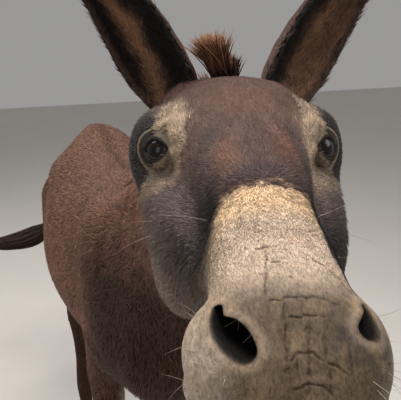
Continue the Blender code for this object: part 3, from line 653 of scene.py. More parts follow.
def skin_blank():
    """Points and triangles of the bare body, finest where the skin folds."""
    bm = bmesh.new()
    for mass in masses:
        mass.loft(bm)
    bmesh.ops.recalc_face_normals(bm, faces=bm.faces)
    mesh = bpy.data.meshes.new("blank")
    bm.to_mesh(mesh)
    for _ in range(2):
        mesh = applied(mesh, "REMESH", mode="VOXEL", voxel_size=BODY_VOXEL)
        surface = drawn_onto(numbers(mesh.vertices, "co", 3).astype(float))
        put_points(mesh, surface)
    put_points(mesh, drawn_onto(surface, -coat_depth(surface), rounds=2))
    bm.free()
    bm = bmesh.new()
    bm.from_mesh(mesh)
    bmesh.ops.triangulate(bm, faces=bm.faces)
    for _ in range(REFINEMENTS):
        points, edges = arrays_of(bm)
        lengths = sizes_of(points[edges[:, 0]] - points[edges[:, 1]])
        wanted = wanted_edge(points[edges].mean(1))
        long = [edge for edge, is_long in zip(bm.edges, lengths > wanted) if is_long]
        if long:
            bmesh.ops.subdivide_edges(bm, edges=long, cuts=1)
            bmesh.ops.triangulate(bm, faces=[face for face in bm.faces if len(face.verts) > 3])
        points, edges = arrays_of(bm)
        moving = wanted_edge(points) < BODY_VOXEL
        points = relaxed(points, edges, moving)
        points[moving] = drawn_onto(points[moving], -coat_depth(points[moving]), rounds=2)
        for vert, point in zip(bm.verts, points):
            vert.co = point
    triangles = np.array([[v.index for v in face.verts] for face in bm.faces])
    bm.free()
    return points, triangles


skin_points, skin_triangles = skin_blank()

LID_THICKNESS = 0.0024
BEHIND_EYE = 0.0015        # the skin in the opening of the lids lies this far inside the eyeball
UPPER_LID = 0.0086         # from the edge of the upper lid to the crease above it
LID_CREASE = 0.0011


def formed_lids(at):
    """The skin round each eyeball: lids that follow it, a crease above them, and the rim behind."""
    for side in SIDES:
        far, angle, cosine, sine = about_eye(at, side)
        past = past_lid(angle, cosine, sine)
        inner, outer = np.maximum(cosine, 0) ** 2, np.maximum(-cosine, 0) ** 2
        upper, lower = np.maximum(sine, 0) ** 2, np.maximum(-sine, 0) ** 2
        leaves = inner * 0.0004 + outer * 0.0012 + upper * 0.0080 + lower * 0.0004
        lands = inner * 0.0070 + outer * 0.0050 + upper * 0.0125 + lower * 0.0060
        lid = EYE_RADIUS - BEHIND_EYE + (LID_THICKNESS + BEHIND_EYE) * smooth(-0.0012, 0.0006, past)
        lid -= 0.0012 * upper * bell(past - UPPER_LID, LID_CREASE)
        for fold in (0.0050, 0.0090):
            lid -= 0.0006 * (lower + 0.5 * inner) * bell(past - fold, LID_CREASE)
        share = smooth(0, 1, (past - leaves) / (lands - leaves))
        radius = np.maximum(lid * (1 - share) + far * share, np.where(past > 0.0006, EYE_RADIUS + 0.0012, 0))
        radius += 0.0022 * outer * bell(angle - RIM_ANGLE, math.radians(4))
        for fold in (0.0165, 0.0215):
            radius -= 0.0013 * upper * bell(past - fold, LID_CREASE * 1.3)
        near = (far < 0.075) & (angle < math.radians(120))
        off = at - eye_middle(side)
        moved = eye_middle(side) + off * (radius / np.maximum(far, 1e-6))[:, None]
        at = np.where(near[:, None], moved, at)
    return at


NOSTRIL_DEPTH = 0.034
NOSTRIL_GOES = np.array((-0.42, -0.80, -0.42))   # into the head, on the left
RIM_HEIGHT = 0.0009
LIP_GROOVE, LIP_SWELL = 0.0060, 0.0012
MOUTH_CORNER = (0.188, 0.205)      # how far forward the parting of the lips fades in


def formed_nostrils(at, normals):
    past = past_nostril(at)
    into = NOSTRIL_GOES / np.linalg.norm(NOSTRIL_GOES)
    into = into * np.stack([np.sign(at[:, 0]), np.ones(len(at)), np.ones(len(at))], 1)
    at = at + into * (NOSTRIL_DEPTH * smooth(0.0002, -0.0055, past))[:, None]
    rim = RIM_HEIGHT * bell(past - 0.0035, 0.0038)
    return at + normals * rim[:, None]


def formed_lips(at, normals):
    off = at[:, 2] - MOUTH_LEVEL
    groove = LIP_GROOVE * bell(off, 0.0024) - LIP_SWELL * bell(np.abs(off) - 0.006, 0.004)
    return at - normals * (groove * smooth(*MOUTH_CORNER, at[:, 1]))[:, None]


def crease_depths(at):
    """Narrow grooves with the skin a little raised beside them."""
    found = np.zeros(len(at))
    for depth, near, off, ends in crease_distances(at):
        groove = bell(off, CREASE_WIDTH) - 0.25 * bell(off - 0.0024, 2 * CREASE_WIDTH)
        found[near] += 0.75 * depth * groove * smooth(-0.001, 0.006, ends)
    return found


def normals_of(points, triangles):
    a, b, c = (points[triangles[:, k]] for k in range(3))
    flat = np.cross(b - a, c - a)
    corners = triangles.ravel()
    total = np.stack([np.bincount(corners, np.repeat(flat[:, k], 3), len(points)) for k in range(3)], 1)
    return total / np.maximum(sizes_of(total), 1e-12)[:, None]


at = in_head(skin_points)
face = at[:, 1] > -0.16
at = at[face]
in_nostril = np.zeros(len(skin_points))
in_nostril[face] = smooth(0.0012, -0.0012, past_nostril(at))
slope = (normals_of(skin_points, skin_triangles) @ HEAD_TURN.T)[face]
at = at - slope * crease_depths(at)[:, None]
at = formed_lips(at, slope)
at = formed_nostrils(at, slope)
at = formed_lids(at)
skin_points[face] = out_of_head(at)


def left_or_right(values, side):
    """A direction given for the left side in the head's axes, mirrored for side = -1."""
    lateral, forward, up = values
    return np.array(HEAD_LEFT * (lateral * side) + HEAD_FORWARD * forward + HEAD_UP * up)


EAR_ROOT = (0.058, -0.112, 0.030)
EAR_LEAN = (0.60, -0.14, 0.82)
EAR_OPENS = (0.42, 0.88, 0.10)
EAR_LENGTH = 0.268
EAR_BEND = 0.020           # the middle of the ear bows back by this much
EAR_COAT = 0.0022
EAR_WALL = 0.0036
EAR_WIDTHS = ((-0.08, 0.060, 0.026), (0.00, 0.064, 0.028), (0.10, 0.086, 0.035), (0.22, 0.099, 0.038),
              (0.34, 0.099, 0.035), (0.50, 0.084, 0.028), (0.68, 0.062, 0.021), (0.84, 0.040, 0.015),
              (0.95, 0.020, 0.010), (1.00, 0.0075, 0.0085))   # share of length, width, depth of the scoop
EAR_RINGS, EAR_POINTS = 54, 22


def facing_out(points, triangles):
    """The triangles of one closed shape, turned round if they face inwards."""
    points = points - points.mean(0)
    a, b, c = (points[triangles[:, k]] for k in range(3))
    return triangles if (a * np.cross(b, c)).sum() > 0 else triangles[:, ::-1]


def ring_triangles(points, rings):
    """Triangles of a closed shape whose points stand in equal rings, ring by ring."""
    around = len(points) // rings
    i, j = np.meshgrid(np.arange(rings - 1), np.arange(around), indexing="ij")
    a, b = (i * around + j).ravel(), (i * around + (j + 1) % around).ravel()
    fan = np.arange(1, around - 1)
    return facing_out(points, np.concatenate([
        np.stack([a, b, b + around], 1), np.stack([a, b + around, a + around], 1),
        np.stack([0 * fan, fan + 1, fan], 1), np.stack([0 * fan, fan, fan + 1], 1) + (rings - 1) * around]))


def ear_axes(side):
    along = left_or_right(EAR_LEAN, side)
    along /= np.linalg.norm(along)
    opens = left_or_right(EAR_OPENS, side)
    opens -= along * (along @ opens)
    opens /= np.linalg.norm(opens)
    return along, opens, np.cross(along, opens) * side


def ear_loft(side):
    """Points and triangles of one ear, with each point's share of the length, place across, and inside."""
    along, opens, across = ear_axes(side)
    table = np.array(EAR_WIDTHS)
    points, notes = [], []
    turns = np.linspace(0, math.pi, EAR_POINTS + 1)
    for t in np.linspace(-0.07, 1.0, EAR_RINGS):
        half = np.interp(t, table[:, 0], table[:, 1]) / 2 - EAR_COAT * min(1, 1.4 - t)
        deep = np.interp(t, table[:, 0], table[:, 2]) - EAR_COAT * min(1, 1.4 - t)
        hollow = max(deep - EAR_WALL, 0.001) * min(1.0, max(t, 0.0) / 0.12)
        middle = np.array(HEAD_PLACE) + left_or_right(EAR_ROOT, side) + along * EAR_LENGTH * t
        middle = middle - opens * EAR_BEND * math.sin(math.pi * max(t, 0))
        inner = max(half - EAR_WALL * 0.7, half * 0.5)
        roll = 0.006 * bell(t - 0.25, 0.2)      # the front edge folds in low down
        for cosine, sine in zip(np.cos(turns), np.sin(turns)):
            fold = roll * max(cosine, 0) ** 3
            points.append(middle - across * (half * cosine - fold) - opens * (deep * sine - fold))
            notes.append((t, -cosine, 0.0, 0.0))
        for cosine, sine in zip(np.cos(turns[::-1]), np.sin(turns[::-1])):
            fold = roll * max(cosine, 0) ** 3
            points.append(middle - across * (inner * cosine - fold) - opens * (hollow * sine - fold - 0.001))
            notes.append((t, -cosine, 1.0, 0.0))
    points = np.array(points)
    return points, ring_triangles(points, EAR_RINGS), np.array(notes)


# Notes on each point: how far along and across an ear, whether inside it, and whether in a nostril.
NO_NOTES = (-1.0, 0.0, 0.0, 0.0)
skin_notes = np.tile(NO_NOTES, (len(skin_points), 1))
skin_notes[:, 3] = in_nostril
for side in SIDES:
    points, triangles, notes = ear_loft(side)
    skin_triangles = np.concatenate([skin_triangles, triangles + len(skin_points)])
    skin_points = np.concatenate([skin_points, points])
    skin_notes = np.concatenate([skin_notes, notes])
skin_normals = normals_of(skin_points, skin_triangles)

# Colours of the coat and of bare skin, as linear red, green and blue.
BROWN, UPPER_BROWN, FLANK_BROWN = (0.220, 0.110, 0.074), (0.160, 0.088, 0.062), (0.095, 0.044, 0.027)
DARK_BROWN, PALE_BELLY, BLACK = (0.052, 0.023, 0.014), (0.34, 0.27, 0.21), (0.011, 0.008, 0.008)
FOREHEAD, NOSE_ROOT, FACE_DARK = (0.098, 0.056, 0.045), (0.085, 0.054, 0.047), (0.090, 0.066, 0.062)
# The second is dark hair beside the nose, deepened with painted shade.
THROAT, DARK_SHADED_NOSE_SIDES, RED = (0.12, 0.075, 0.058), (0.022, 0.017, 0.017), (0.19, 0.085, 0.052)
CREAM, PALE_NOSE, NOSE_SIDE = (0.76, 0.55, 0.355), (0.54, 0.43, 0.335), (0.36, 0.285, 0.205)
# Muzzle greys darkened with painted shade on its front and underside, then painted shade round the nostrils.
SHADED_MUZZLE_GREY, SHADED_LOW_MUZZLE, NOSTRIL_SHADE = (0.148, 0.110, 0.081), (0.168, 0.121, 0.079), (0.055, 0.042, 0.033)
LIP_SIDE, STAIN = (0.47, 0.385, 0.300), (0.34, 0.235, 0.130)
SPECK, SORE = (0.10, 0.07, 0.06), (0.75, 0.40, 0.30)
# Painted shade in the creases; a pale rim; the nostrils' dark lining with painted shade of their deep
# openings.
CREASE_SHADE, NOSTRIL_RIM, NOSTRIL_LINING_AND_SHADE = (0.026, 0.017, 0.012), (0.46, 0.35, 0.26), (0.005, 0.004, 0.004)
# The first is painted shade in the parting of the lips.
LIP_PARTING_SHADE, CHIN = (0.02, 0.013, 0.012), (0.44, 0.385, 0.330)
EYE_RING, AROUND_RING, UNDER_EYE = (0.36, 0.280, 0.200), (0.030, 0.021, 0.021), (0.125, 0.098, 0.078)
# The second is painted shade in the folds of the upper lid.
LID_OLIVE, LID_FOLD_SHADE, LID_MARGIN = (0.105, 0.078, 0.052), (0.050, 0.032, 0.024), (0.012, 0.009, 0.008)
# Painted shade behind the lids; pale hair with a painted highlight on the bony rim; painted shade in the
# furrow.
SHADE_BEHIND_LIDS, RIM_PALE_AND_HIGHLIGHT, FURROW_SHADE = (0.026, 0.020, 0.016), (0.40, 0.31, 0.23), (0.030, 0.020, 0.016)
EAR_BACK, EAR_EDGE, EAR_LINING = (0.095, 0.058, 0.048), (0.060, 0.034, 0.026), (0.055, 0.032, 0.024)
TAWNY, EAR_FLUFF = (0.34, 0.195, 0.115), (0.190, 0.115, 0.073)

FACE_SPOTS = (    # place in the head, how far each spot spreads, its strength and its colour
    ((-0.026, 0.112, 0.030), (0.010, 0.020, 0.02), 0.75, RED),
    ((0.026, 0.105, 0.031), (0.010, 0.020, 0.02), 0.70, RED),
    ((-0.005, 0.030, 0.066), (0.030, 0.030, 0.03), 0.22, RED),
    ((-0.036, 0.082, 0.036), (0.012, 0.020, 0.02), 0.55, (0.03, 0.022, 0.024)),
    ((0.042, 0.075, 0.033), (0.010, 0.020, 0.02), 0.55, (0.03, 0.022, 0.024)),
    ((0.000, 0.137, 0.030), (0.022, 0.007, 0.02), 0.80, (0.04, 0.028, 0.028)),
    ((0.0, -0.080, 0.070), (0.100, 0.032, 0.04), 0.70, (0.15, 0.070, 0.048)),
    ((0.061, 0.052, 0.008), (0.017, 0.028, 0.034), 0.95, (0.52, 0.39, 0.285)),
    ((-0.085, 0.060, -0.045), (0.02, 0.045, 0.030), 0.55, (0.150, 0.115, 0.105)),
    ((-0.080, 0.115, -0.100), (0.040, 0.050, 0.045), 0.80, (0.260, 0.200, 0.170)),
    ((-0.045, 0.185, -0.075), (0.030, 0.040, 0.030), 0.60, (0.210, 0.165, 0.130)),
    # Painted highlight: a pale spot on each brow ridge, where light from above catches it.
    ((-0.082, -0.016, 0.041), (0.012, 0.012, 0.008), 0.85, (0.60, 0.50, 0.40)),
    ((0.082, -0.016, 0.041), (0.012, 0.012, 0.008), 0.85, (0.60, 0.50, 0.40)),
)
# Painted shade round the nostrils, most of it beside and below the left one.
NOSTRIL_SHADE_SPOTS = (
    ((-0.008, 0.291, -0.031), (0.020, 0.024, 0.010), 0.45, NOSTRIL_SHADE),
    ((0.028, 0.292, -0.036), (0.016, 0.026, 0.013), 0.85, NOSTRIL_SHADE),
    ((0.050, 0.292, -0.043), (0.017, 0.026, 0.020), 0.85, NOSTRIL_SHADE),
)
SPECKS = (
    ((-0.024, 0.187, 0.0043), (0.0022,) * 3, 0.75, SPECK),
    ((-0.026, 0.1971, 0.0012), (0.0026,) * 3, 0.75, SPECK),
    ((-0.0128, 0.2111, 0.0013), (0.0022,) * 3, 0.75, SPECK),
    ((0.0179, 0.213, -0.0002), (0.0018,) * 3, 0.75, SPECK),
    ((0.0085, 0.2197, -0.0009), (0.004,) * 3, 0.5, SORE),
)


def ripple(points, size, seed):
    """Smooth noise between about -1 and 1, with waves of about the given size."""
    chance = np.random.default_rng(seed)
    total = np.zeros(len(points))
    for _ in range(9):
        way = chance.normal(size=3)
        way *= 2 * math.pi / (size * chance.uniform(0.7, 1.5)) / np.linalg.norm(way)
        total += np.sin(points @ way + chance.uniform(0, 7))
    return total / 3.2


def near_to(at, place, sizes):
    """1 at a place in the head, falling to 0 over the given lateral, forward and up distances."""
    off = (at - np.array(place)) / np.array(sizes)
    return np.exp(-(off**2).sum(1))


def laid(colours, layers):
    """Colours with others laid over them, each by its share at every point."""
    for share, colour in layers:
        colours = colours + (np.array(colour) - colours) * np.clip(share, 0, 1)[:, None]
    return colours


def spots(at, rows):
    return [(share * near_to(at, place, sizes), colour) for place, sizes, share, colour in rows]


def body_colours(points, normals, speckle):
    """Brown, darker before and below, with a faint stripe and cross on the back and a pale belly."""
    x, y, z = points.T
    stripe = bell(x, 0.014) * (normals[:, 2] > 0.5) * smooth(-0.30, -0.20, y)
    cross = bell(y + 0.165 - 0.10 * (1.05 - z), 0.018) * smooth(0.84, 0.97, z)
    under = smooth(-0.45, -0.85, normals[:, 2]) * (y > -0.22) * (y < 0.62) * smooth(0.72, 0.64, z) * (z > 0.5)
    inner = smooth(0.3, 0.8, -normals[:, 0] * np.sign(x)) * smooth(0.42, 0.52, z) * (z < 0.72)
    return laid(np.tile(BROWN, (len(points), 1)) * (1 + 0.12 * speckle[:, None]), (
        (smooth(0.78, 1.05, z + 0.03 * speckle) * smooth(-0.35, -0.15, y), UPPER_BROWN),
        (0.6 * smooth(0.86, 0.66, z + 0.03 * speckle), FLANK_BROWN),
        (smooth(-0.16, -0.34, y) * smooth(1.20, 0.95, z + 0.02 * speckle), DARK_BROWN),
        (smooth(0.66, 0.50, z + 0.02 * speckle) * (np.abs(x) > 0.03), DARK_BROWN),
        (0.6 * np.maximum(stripe, 0.7 * cross * (np.abs(x) < 0.2)), DARK_BROWN),
        (0.85 * np.maximum(under, inner * (np.abs(x) > 0.02)), PALE_BELLY),
    ))


def face_colours(at, speckle):
    """Forehead, cheeks and throat, streaked, with rusty, dark and pale spots, painted shade by the nose,
    painted brow highlights.
    """
    lateral, forward, up = at.T
    low = smooth(0.01, -0.03, up + 0.012 * speckle)
    beside_nose = smooth(0.026, 0.042, np.abs(lateral) + 0.004 * speckle)
    face = laid(np.tile(FOREHEAD, (len(at), 1)), (
        (smooth(0.035, 0.11, forward + 0.01 * speckle), NOSE_ROOT),
        (low, FACE_DARK),
        (low * smooth(-0.02, 0.05, -forward) * smooth(-0.03, -0.09, up), THROAT),
        # dark hair along the sides of the nose, deepened with painted shade
        (smooth(0.085, 0.145, forward) * beside_nose, DARK_SHADED_NOSE_SIDES),
    ))
    streak = 0.5 + 0.5 * ripple(at * (3.0, 1.0, 1.0), 0.020, 5)
    return laid(face * (0.85 + 0.3 * streak)[:, None], spots(at, FACE_SPOTS))


def share_of_nose(at):
    """1 over the pale end of the face and 0 over the dark rest, with a ragged edge between them."""
    lateral, forward, up = at.T
    edge = 0.151 + 0.030 * smooth(0.030, 0.055, -lateral) + 0.05 * smooth(0.037, 0.055, lateral)
    edge += 0.075 * smooth(0.032, 0.037, lateral) * (up > -0.03)
    edge += 0.003 * ripple(at, 0.008, 3) + 0.002 * ripple(at, 0.003, 4)
    softly = 0.004 + 0.011 * smooth(0.034, 0.044, -lateral)
    return smooth(-softly, 0.002 + softly, forward - edge)


def nose_colours(at, speckle):
    """Cream high on the nose, then pale grey, and mottled dark grey at the muzzle's end, with painted shade
    there.
    """
    lateral, forward, up = at.T
    grey = smooth(0.232, 0.285, forward - 0.35 * np.minimum(up + 0.01, 0) + 0.004 * speckle)
    side_lip = smooth(0.036, 0.058, -lateral) + 0.4 * smooth(0.040, 0.058, lateral)
    nose = laid(np.tile(CREAM, (len(at), 1)), [
        (smooth(0.165, 0.205, forward), PALE_NOSE),
        (0.8 * smooth(0.036, 0.048, -lateral), NOSE_SIDE),
        # the muzzle's end and underside: its own grey, with painted shade laid into it
        (grey, SHADED_MUZZLE_GREY),
        (smooth(-0.016, -0.036, up + 0.004 * speckle) * smooth(0.22, 0.27, forward), SHADED_LOW_MUZZLE),
        (0.82 * side_lip * smooth(-0.02, -0.05, up), LIP_SIDE),
    ] + spots(at, NOSTRIL_SHADE_SPOTS))
    mottle = 0.6 * ripple(at, 0.007, 21) + 0.6 * ripple(at, 0.0028, 22)
    nose = nose * (1 + (0.06 + 0.07 * grey) * mottle)[:, None]
    return laid(nose, [(0.30 * smooth(0.2, 1.0, ripple(at, 0.018, 23)) * grey, STAIN)] + spots(at, SPECKS))


def crease_shade_lines(at):
    """Where shade is painted into the creases: 1 along the middle of each, less in the shallowest, 0 off
    them.
    """
    found = np.zeros(len(at))
    for depth, near, off, ends in crease_distances(at):
        line = bell(off, CREASE_WIDTH) * smooth(-0.001, 0.005, ends) * np.minimum(depth / 0.0007, 1)
        found[near] = np.maximum(found[near], line)
    return found


def eye_markings(face, bare, at, side):
    """The pale ring, folded lids, rim behind and furrow before one eye, laid on, with painted shade and
    highlight.
    """
    far, angle, cosine, sine = about_eye(at, side)
    past = past_lid(angle, cosine, sine)
    around = smooth(0.012, 0.0, far - EYE_RADIUS - 0.030 + 0.004 * ripple(at, 0.012, 31))
    inner, upper, lower = np.maximum(cosine, 0), np.maximum(sine, 0), np.maximum(-sine, 0)
    behind = smooth(0.05, 0.45, -cosine)
    reach = 0.019 + (0.018 + 0.006 * side) * inner + 0.007 * upper + 0.004 * lower
    reach += 0.003 * ripple(at, 0.010, 32)
    ring = smooth(reach, reach - 0.009, past) * (1 - behind * (1 - 0.5 * upper)) * around
    lid = (upper**0.5) * smooth(UPPER_LID + 0.0025, UPPER_LID - 0.001, past) * (far < 0.035)
    thick = 0.0030 * behind + 0.0022 * upper
    fringe = behind * smooth(RIM_ANGLE + 0.02, RIM_ANGLE + 0.08, angle)
    layers = [
        (smooth(reach + 0.012, reach, past) * around * (0.3 + 0.7 * upper) * 0.55, AROUND_RING),
        (0.94 * ring, EYE_RING),
        (0.80 * ring * lower * smooth(0.002, 0.014, past), UNDER_EYE),
        (0.92 * lid, LID_OLIVE),
    ]
    # painted shade along the folds of the upper lid
    for fold, width in ((UPPER_LID, 0.0010), (0.0150, 0.0011), (0.0195, 0.0014)):
        line = upper * around * bell(past - fold + 0.0006 * ripple(at, 0.006, 33), width)
        layers.append((0.75 * line, LID_FOLD_SHADE))
    layers += [
        # painted shade in the hollow between the lids and the bony rim
        (behind * smooth(-0.0005, 0.002, past) * (far < 0.036), SHADE_BEHIND_LIDS),
        (0.95 * fringe * smooth(0.054, 0.040, far), BLACK),
        # pale hair on the bony rim, brightened as a painted highlight
        (0.50 * bell(angle - RIM_ANGLE, math.radians(1.2)) * behind * (far < 0.036), RIM_PALE_AND_HIGHLIGHT),
        (0.95 * smooth(0.0024 + thick, 0.0010 + 0.7 * thick, past) * (far < 0.031), LID_MARGIN),
    ]
    # painted shade along the furrow before the eye's inner corner
    for k in np.linspace(0, 1, 5):
        corner = (side * (0.0715 - 0.0060 * k), 0.0375 + 0.0075 * k, 0.0185 + 0.0055 * k)
        layers.append((0.55 * near_to(at, corner, (0.004, 0.0035, 0.0022)), FURROW_SHADE))
    for more in (
        smooth(0.0060, 0.0030, past) * (far < 0.035),
        lid,
        behind * smooth(RIM_ANGLE + 0.05, RIM_ANGLE + 0.01, angle) * (far < 0.036),
    ):
        bare = np.maximum(bare, more)
    return laid(face, layers), bare


def ear_colours(at, notes, speckle):
    """Dark backs with darker edges, and inside, a tawny stripe on near black."""
    along, across, inside = notes.T[:3]
    on_left_ear = smooth(0, 0.02, at[:, 0])
    outer = laid(np.tile(EAR_BACK, (len(at), 1)), (
        (smooth(0.45, 0.9, along), DARK_BROWN),
        (smooth(0.80, 0.98, np.abs(across)), EAR_EDGE),
    ))
    centre = 0.26 + 0.32 * smooth(0.34, 0.05, along) - 0.10 * on_left_ear
    stripe = bell(across - centre + 0.10 * speckle, 0.24) * smooth(1.0, 0.5, along)
    within = laid(np.tile(BLACK, (len(at), 1)), (
        (0.9 * stripe, TAWNY),
        (0.9 * smooth(0.15, 0.40, across) * on_left_ear, EAR_FLUFF),
        (smooth(0.90, 1.0, across), EAR_LINING),
    ))
    return outer * (1 - inside)[:, None] + within * inside[:, None]


def markings(points, normals, notes):
    """The animal's colours where hair or skin stands, and how bare the skin is there."""
    at = in_head(points)
    forward, up = at[:, 1], at[:, 2]
    in_nostril = notes[:, 3]
    speckle = ripple(points, 0.05, 11)
    head = smooth(-0.20, -0.115, forward + 0.012 * speckle)
    pale = share_of_nose(at)
    face = face_colours(at, speckle) * (1 - pale)[:, None] + nose_colours(at, speckle) * pale[:, None]
    bare = pale * smooth(0.235, 0.275, forward) * smooth(0.012, 0.0, np.maximum(-0.085 - up, 0))
    hole = past_nostril(at)
    lips = bell(up - MOUTH_LEVEL, 0.0022) * smooth(*MOUTH_CORNER, forward)
    face = laid(face, (
        # painted shade along the muzzle's creases
        (0.80 * crease_shade_lines(at) * head, CREASE_SHADE),
        (0.35 * bell(hole - 0.004, 0.003) * head, NOSTRIL_RIM),
        # the nostrils' dark lining, darkened further with painted shade of the deep opening
        (in_nostril, NOSTRIL_LINING_AND_SHADE),
        # painted shade in the parting of the lips
        (0.9 * lips, LIP_PARTING_SHADE),
        (0.7 * smooth(MOUTH_LEVEL - 0.001, MOUTH_LEVEL - 0.006, up) * smooth(0.19, 0.21, forward), CHIN),
    ))
    for side in SIDES:
        face, bare = eye_markings(face, bare, at, side)
    for more in (smooth(0.003, 0.0, hole) * head, lips, in_nostril):
        bare = np.maximum(bare, more)
    colours = body_colours(points, normals, speckle) * (1 - head)[:, None] + face * head[:, None]
    ear = smooth(-0.9, -0.3, notes[:, 0])
    colours = colours * (1 - ear)[:, None] + ear_colours(at, notes, speckle) * ear[:, None]
    return colours, np.clip(bare, 0, 1) * (1 - ear)


class Socket:
    """An output of a shader node; arithmetic on it adds Math nodes."""

    def __init__(self, graph, output):
        self.graph, self.output = graph, output

    def __add__(self, other):
        return self.graph.maths("ADD", self, other)

    def __radd__(self, other):
        return self.graph.maths("ADD", other, self)

    def __sub__(self, other):
        return self.graph.maths("SUBTRACT", self, other)

    def __rsub__(self, other):
        return self.graph.maths("SUBTRACT", other, self)

    def __mul__(self, other):
        return self.graph.maths("MULTIPLY", self, other)

    def __rmul__(self, other):
        return self.graph.maths("MULTIPLY", other, self)

    def __pow__(self, other):
        return self.graph.maths("POWER", self, other)


class Finish:
    """A material with one Principled shader, and short ways to add nodes to it."""

    def __init__(self, name, **constants):
        self.material = bpy.data.materials.new(name)
        self.material.use_nodes = True
        self.nodes, self.links = self.material.node_tree.nodes, self.material.node_tree.links
        self.shader = self.nodes["Principled BSDF"]
        for socket, value in constants.items():
            self.shader.inputs[socket.replace("_", " ")].default_value = value

    def node(self, kind, settings=None, **inputs):
        """A node with its settings made first, then values or links put on its named inputs."""
        made = self.nodes.new(kind)
        for name, value in (settings or {}).items():
            setattr(made, name, value)
        for name, value in inputs.items():
            wanted = [s for s in made.inputs if s.enabled and s.name.replace(" ", "_") == name]
            self.put(wanted[0], value)
        return made

    def put(self, target, value):
        if isinstance(value, Socket):
            self.links.new(value.output, target)
        else:
            target.default_value = value

    def out(self, node, name=0):
        return Socket(self, node.outputs[name])

    def maths(self, operation, first, second):
        made = self.node("ShaderNodeMath", {"operation": operation})
        self.put(made.inputs[0], first)
        self.put(made.inputs[1], second)
        return self.out(made)

    def mixed(self, share, first, second, blend="MIX"):
        made = self.nodes.new("ShaderNodeMix")
        made.data_type, made.blend_type = "RGBA", blend
        self.put(made.inputs["Factor"], share)
        for socket, value in zip([s for s in made.inputs if s.type == "RGBA"], (first, second)):
            self.put(socket, value)
        return Socket(self, next(s for s in made.outputs if s.type == "RGBA"))

    def attribute(self, name, output="Color"):
        return self.out(self.node("ShaderNodeAttribute", {"attribute_name": name}), output)

    def stretched(self, vector, scale):
        made = self.node("ShaderNodeVectorMath", {"operation": "MULTIPLY"})
        self.put(made.inputs[0], vector)
        self.put(made.inputs[1], scale)
        return self.out(made)

    def noise(self, vector, scale, detail=3.0, roughness=0.55):
        return self.out(self.node("ShaderNodeTexNoise", Vector=vector, Scale=scale, Detail=detail,
                                  Roughness=roughness), "Fac")

    def span(self, value, low, high):
        """0 below low, 1 above high, evenly between."""
        made = self.node("ShaderNodeMapRange", Value=value, From_Min=low, From_Max=high)
        return self.out(made)

    def to(self, socket, value):
        self.links.new(value.output, self.shader.inputs[socket])

    def bumped(self, heights):
        """Bump nodes one after another: pairs of a height and the metres it stands for."""
        normal = None
        for height, distance in heights:
            made = self.node("ShaderNodeBump", Height=height, Distance=distance, Strength=1.0)
            if normal:
                self.links.new(normal.output, made.inputs["Normal"])
            normal = self.out(made)
        self.to("Normal", normal)


def riding(name, mesh):
    piece = added(name, mesh)
    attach(piece, "root")
    return piece


def add_piece(name, points, triangles, finish, colours=None, smoothly=True):
    """One object of the visual model, its place in its mesh, riding on the only body."""
    mesh = bpy.data.meshes.new(name)
    mesh.vertices.add(len(points))
    mesh.vertices.foreach_set("co", (points + np.array(BODY)).astype(np.float32).ravel())
    mesh.loops.add(triangles.size)
    mesh.loops.foreach_set("vertex_index", triangles.astype(np.int32).ravel())
    mesh.polygons.add(len(triangles))
    mesh.polygons.foreach_set("loop_start", np.arange(0, triangles.size, 3, dtype=np.int32))
    mesh.polygons.foreach_set("use_smooth", np.full(len(triangles), smoothly))
    mesh.update(calc_edges=True)
    mesh.validate()
    if colours is not None:
        add_note(mesh, "hue", "FLOAT_COLOR", np.concatenate([colours, np.ones((len(colours), 1))], 1))
    mesh.materials.append(finish.material)
    return riding(name, mesh)


def add_note(mesh, name, kind, values):
    """A value kept on every point of a mesh, for its material to read."""
    field = {"FLOAT_COLOR": "color", "FLOAT_VECTOR": "vector", "FLOAT": "value"}[kind]
    mesh.attributes.new(name, kind, "POINT").data.foreach_set(field, np.asarray(values, np.float32).ravel())


hide = Finish("hide", Roughness=0.72, Subsurface_Weight=0.03, Subsurface_Scale=0.004, Specular_IOR_Level=0.14)
hue, bare = hide.attribute("hue"), hide.attribute("bare", "Fac")
grain = hide.attribute("grain", "Vector")
here = hide.out(hide.node("ShaderNodeTexCoord"), "Object")
hairs = hide.noise(hide.stretched(grain, (1.0, 0.16, 1.0)), 900.0, 2.0)
pores = hide.out(hide.node("ShaderNodeTexVoronoi", {"feature": "DISTANCE_TO_EDGE"},
                           Vector=hide.stretched(grain, (1.0, 0.6, 0.7)), Scale=1150.0), "Distance")
pores = hide.span(pores, 0.0, 0.12)
wrinkles = hide.noise(hide.stretched(grain, (1.0, 0.30, 0.45)), 620.0, 5.0, 0.68)
blotches = hide.noise(here, 140.0, 4.0, 0.65)
tint = hide.mixed(hide.span(blotches, 0.35, 0.68), (0.80, 0.80, 0.80, 1), (1.16, 1.13, 1.10, 1))
colour = hide.mixed(1.0, hue, tint, "MULTIPLY")
furry = hide.mixed(hide.span(hairs, 0.36, 0.62), (0.62, 0.60, 0.60, 1), (1.2, 1.16, 1.12, 1))
leathery = hide.mixed(hide.span(wrinkles, 0.34, 0.56), (0.66, 0.63, 0.60, 1), (1.10, 1.10, 1.10, 1))
texture = hide.mixed(bare, furry, leathery)
colour = hide.mixed(1.0, colour, texture, "MULTIPLY")
hide.to("Base Color", colour)
hide.to("Roughness", 0.80 - 0.18 * bare + 0.10 * (blotches - 0.5))
hide.bumped([(hairs * (1 - bare), 0.0012), (wrinkles * bare, 0.0019), (pores * bare, 0.00008)])

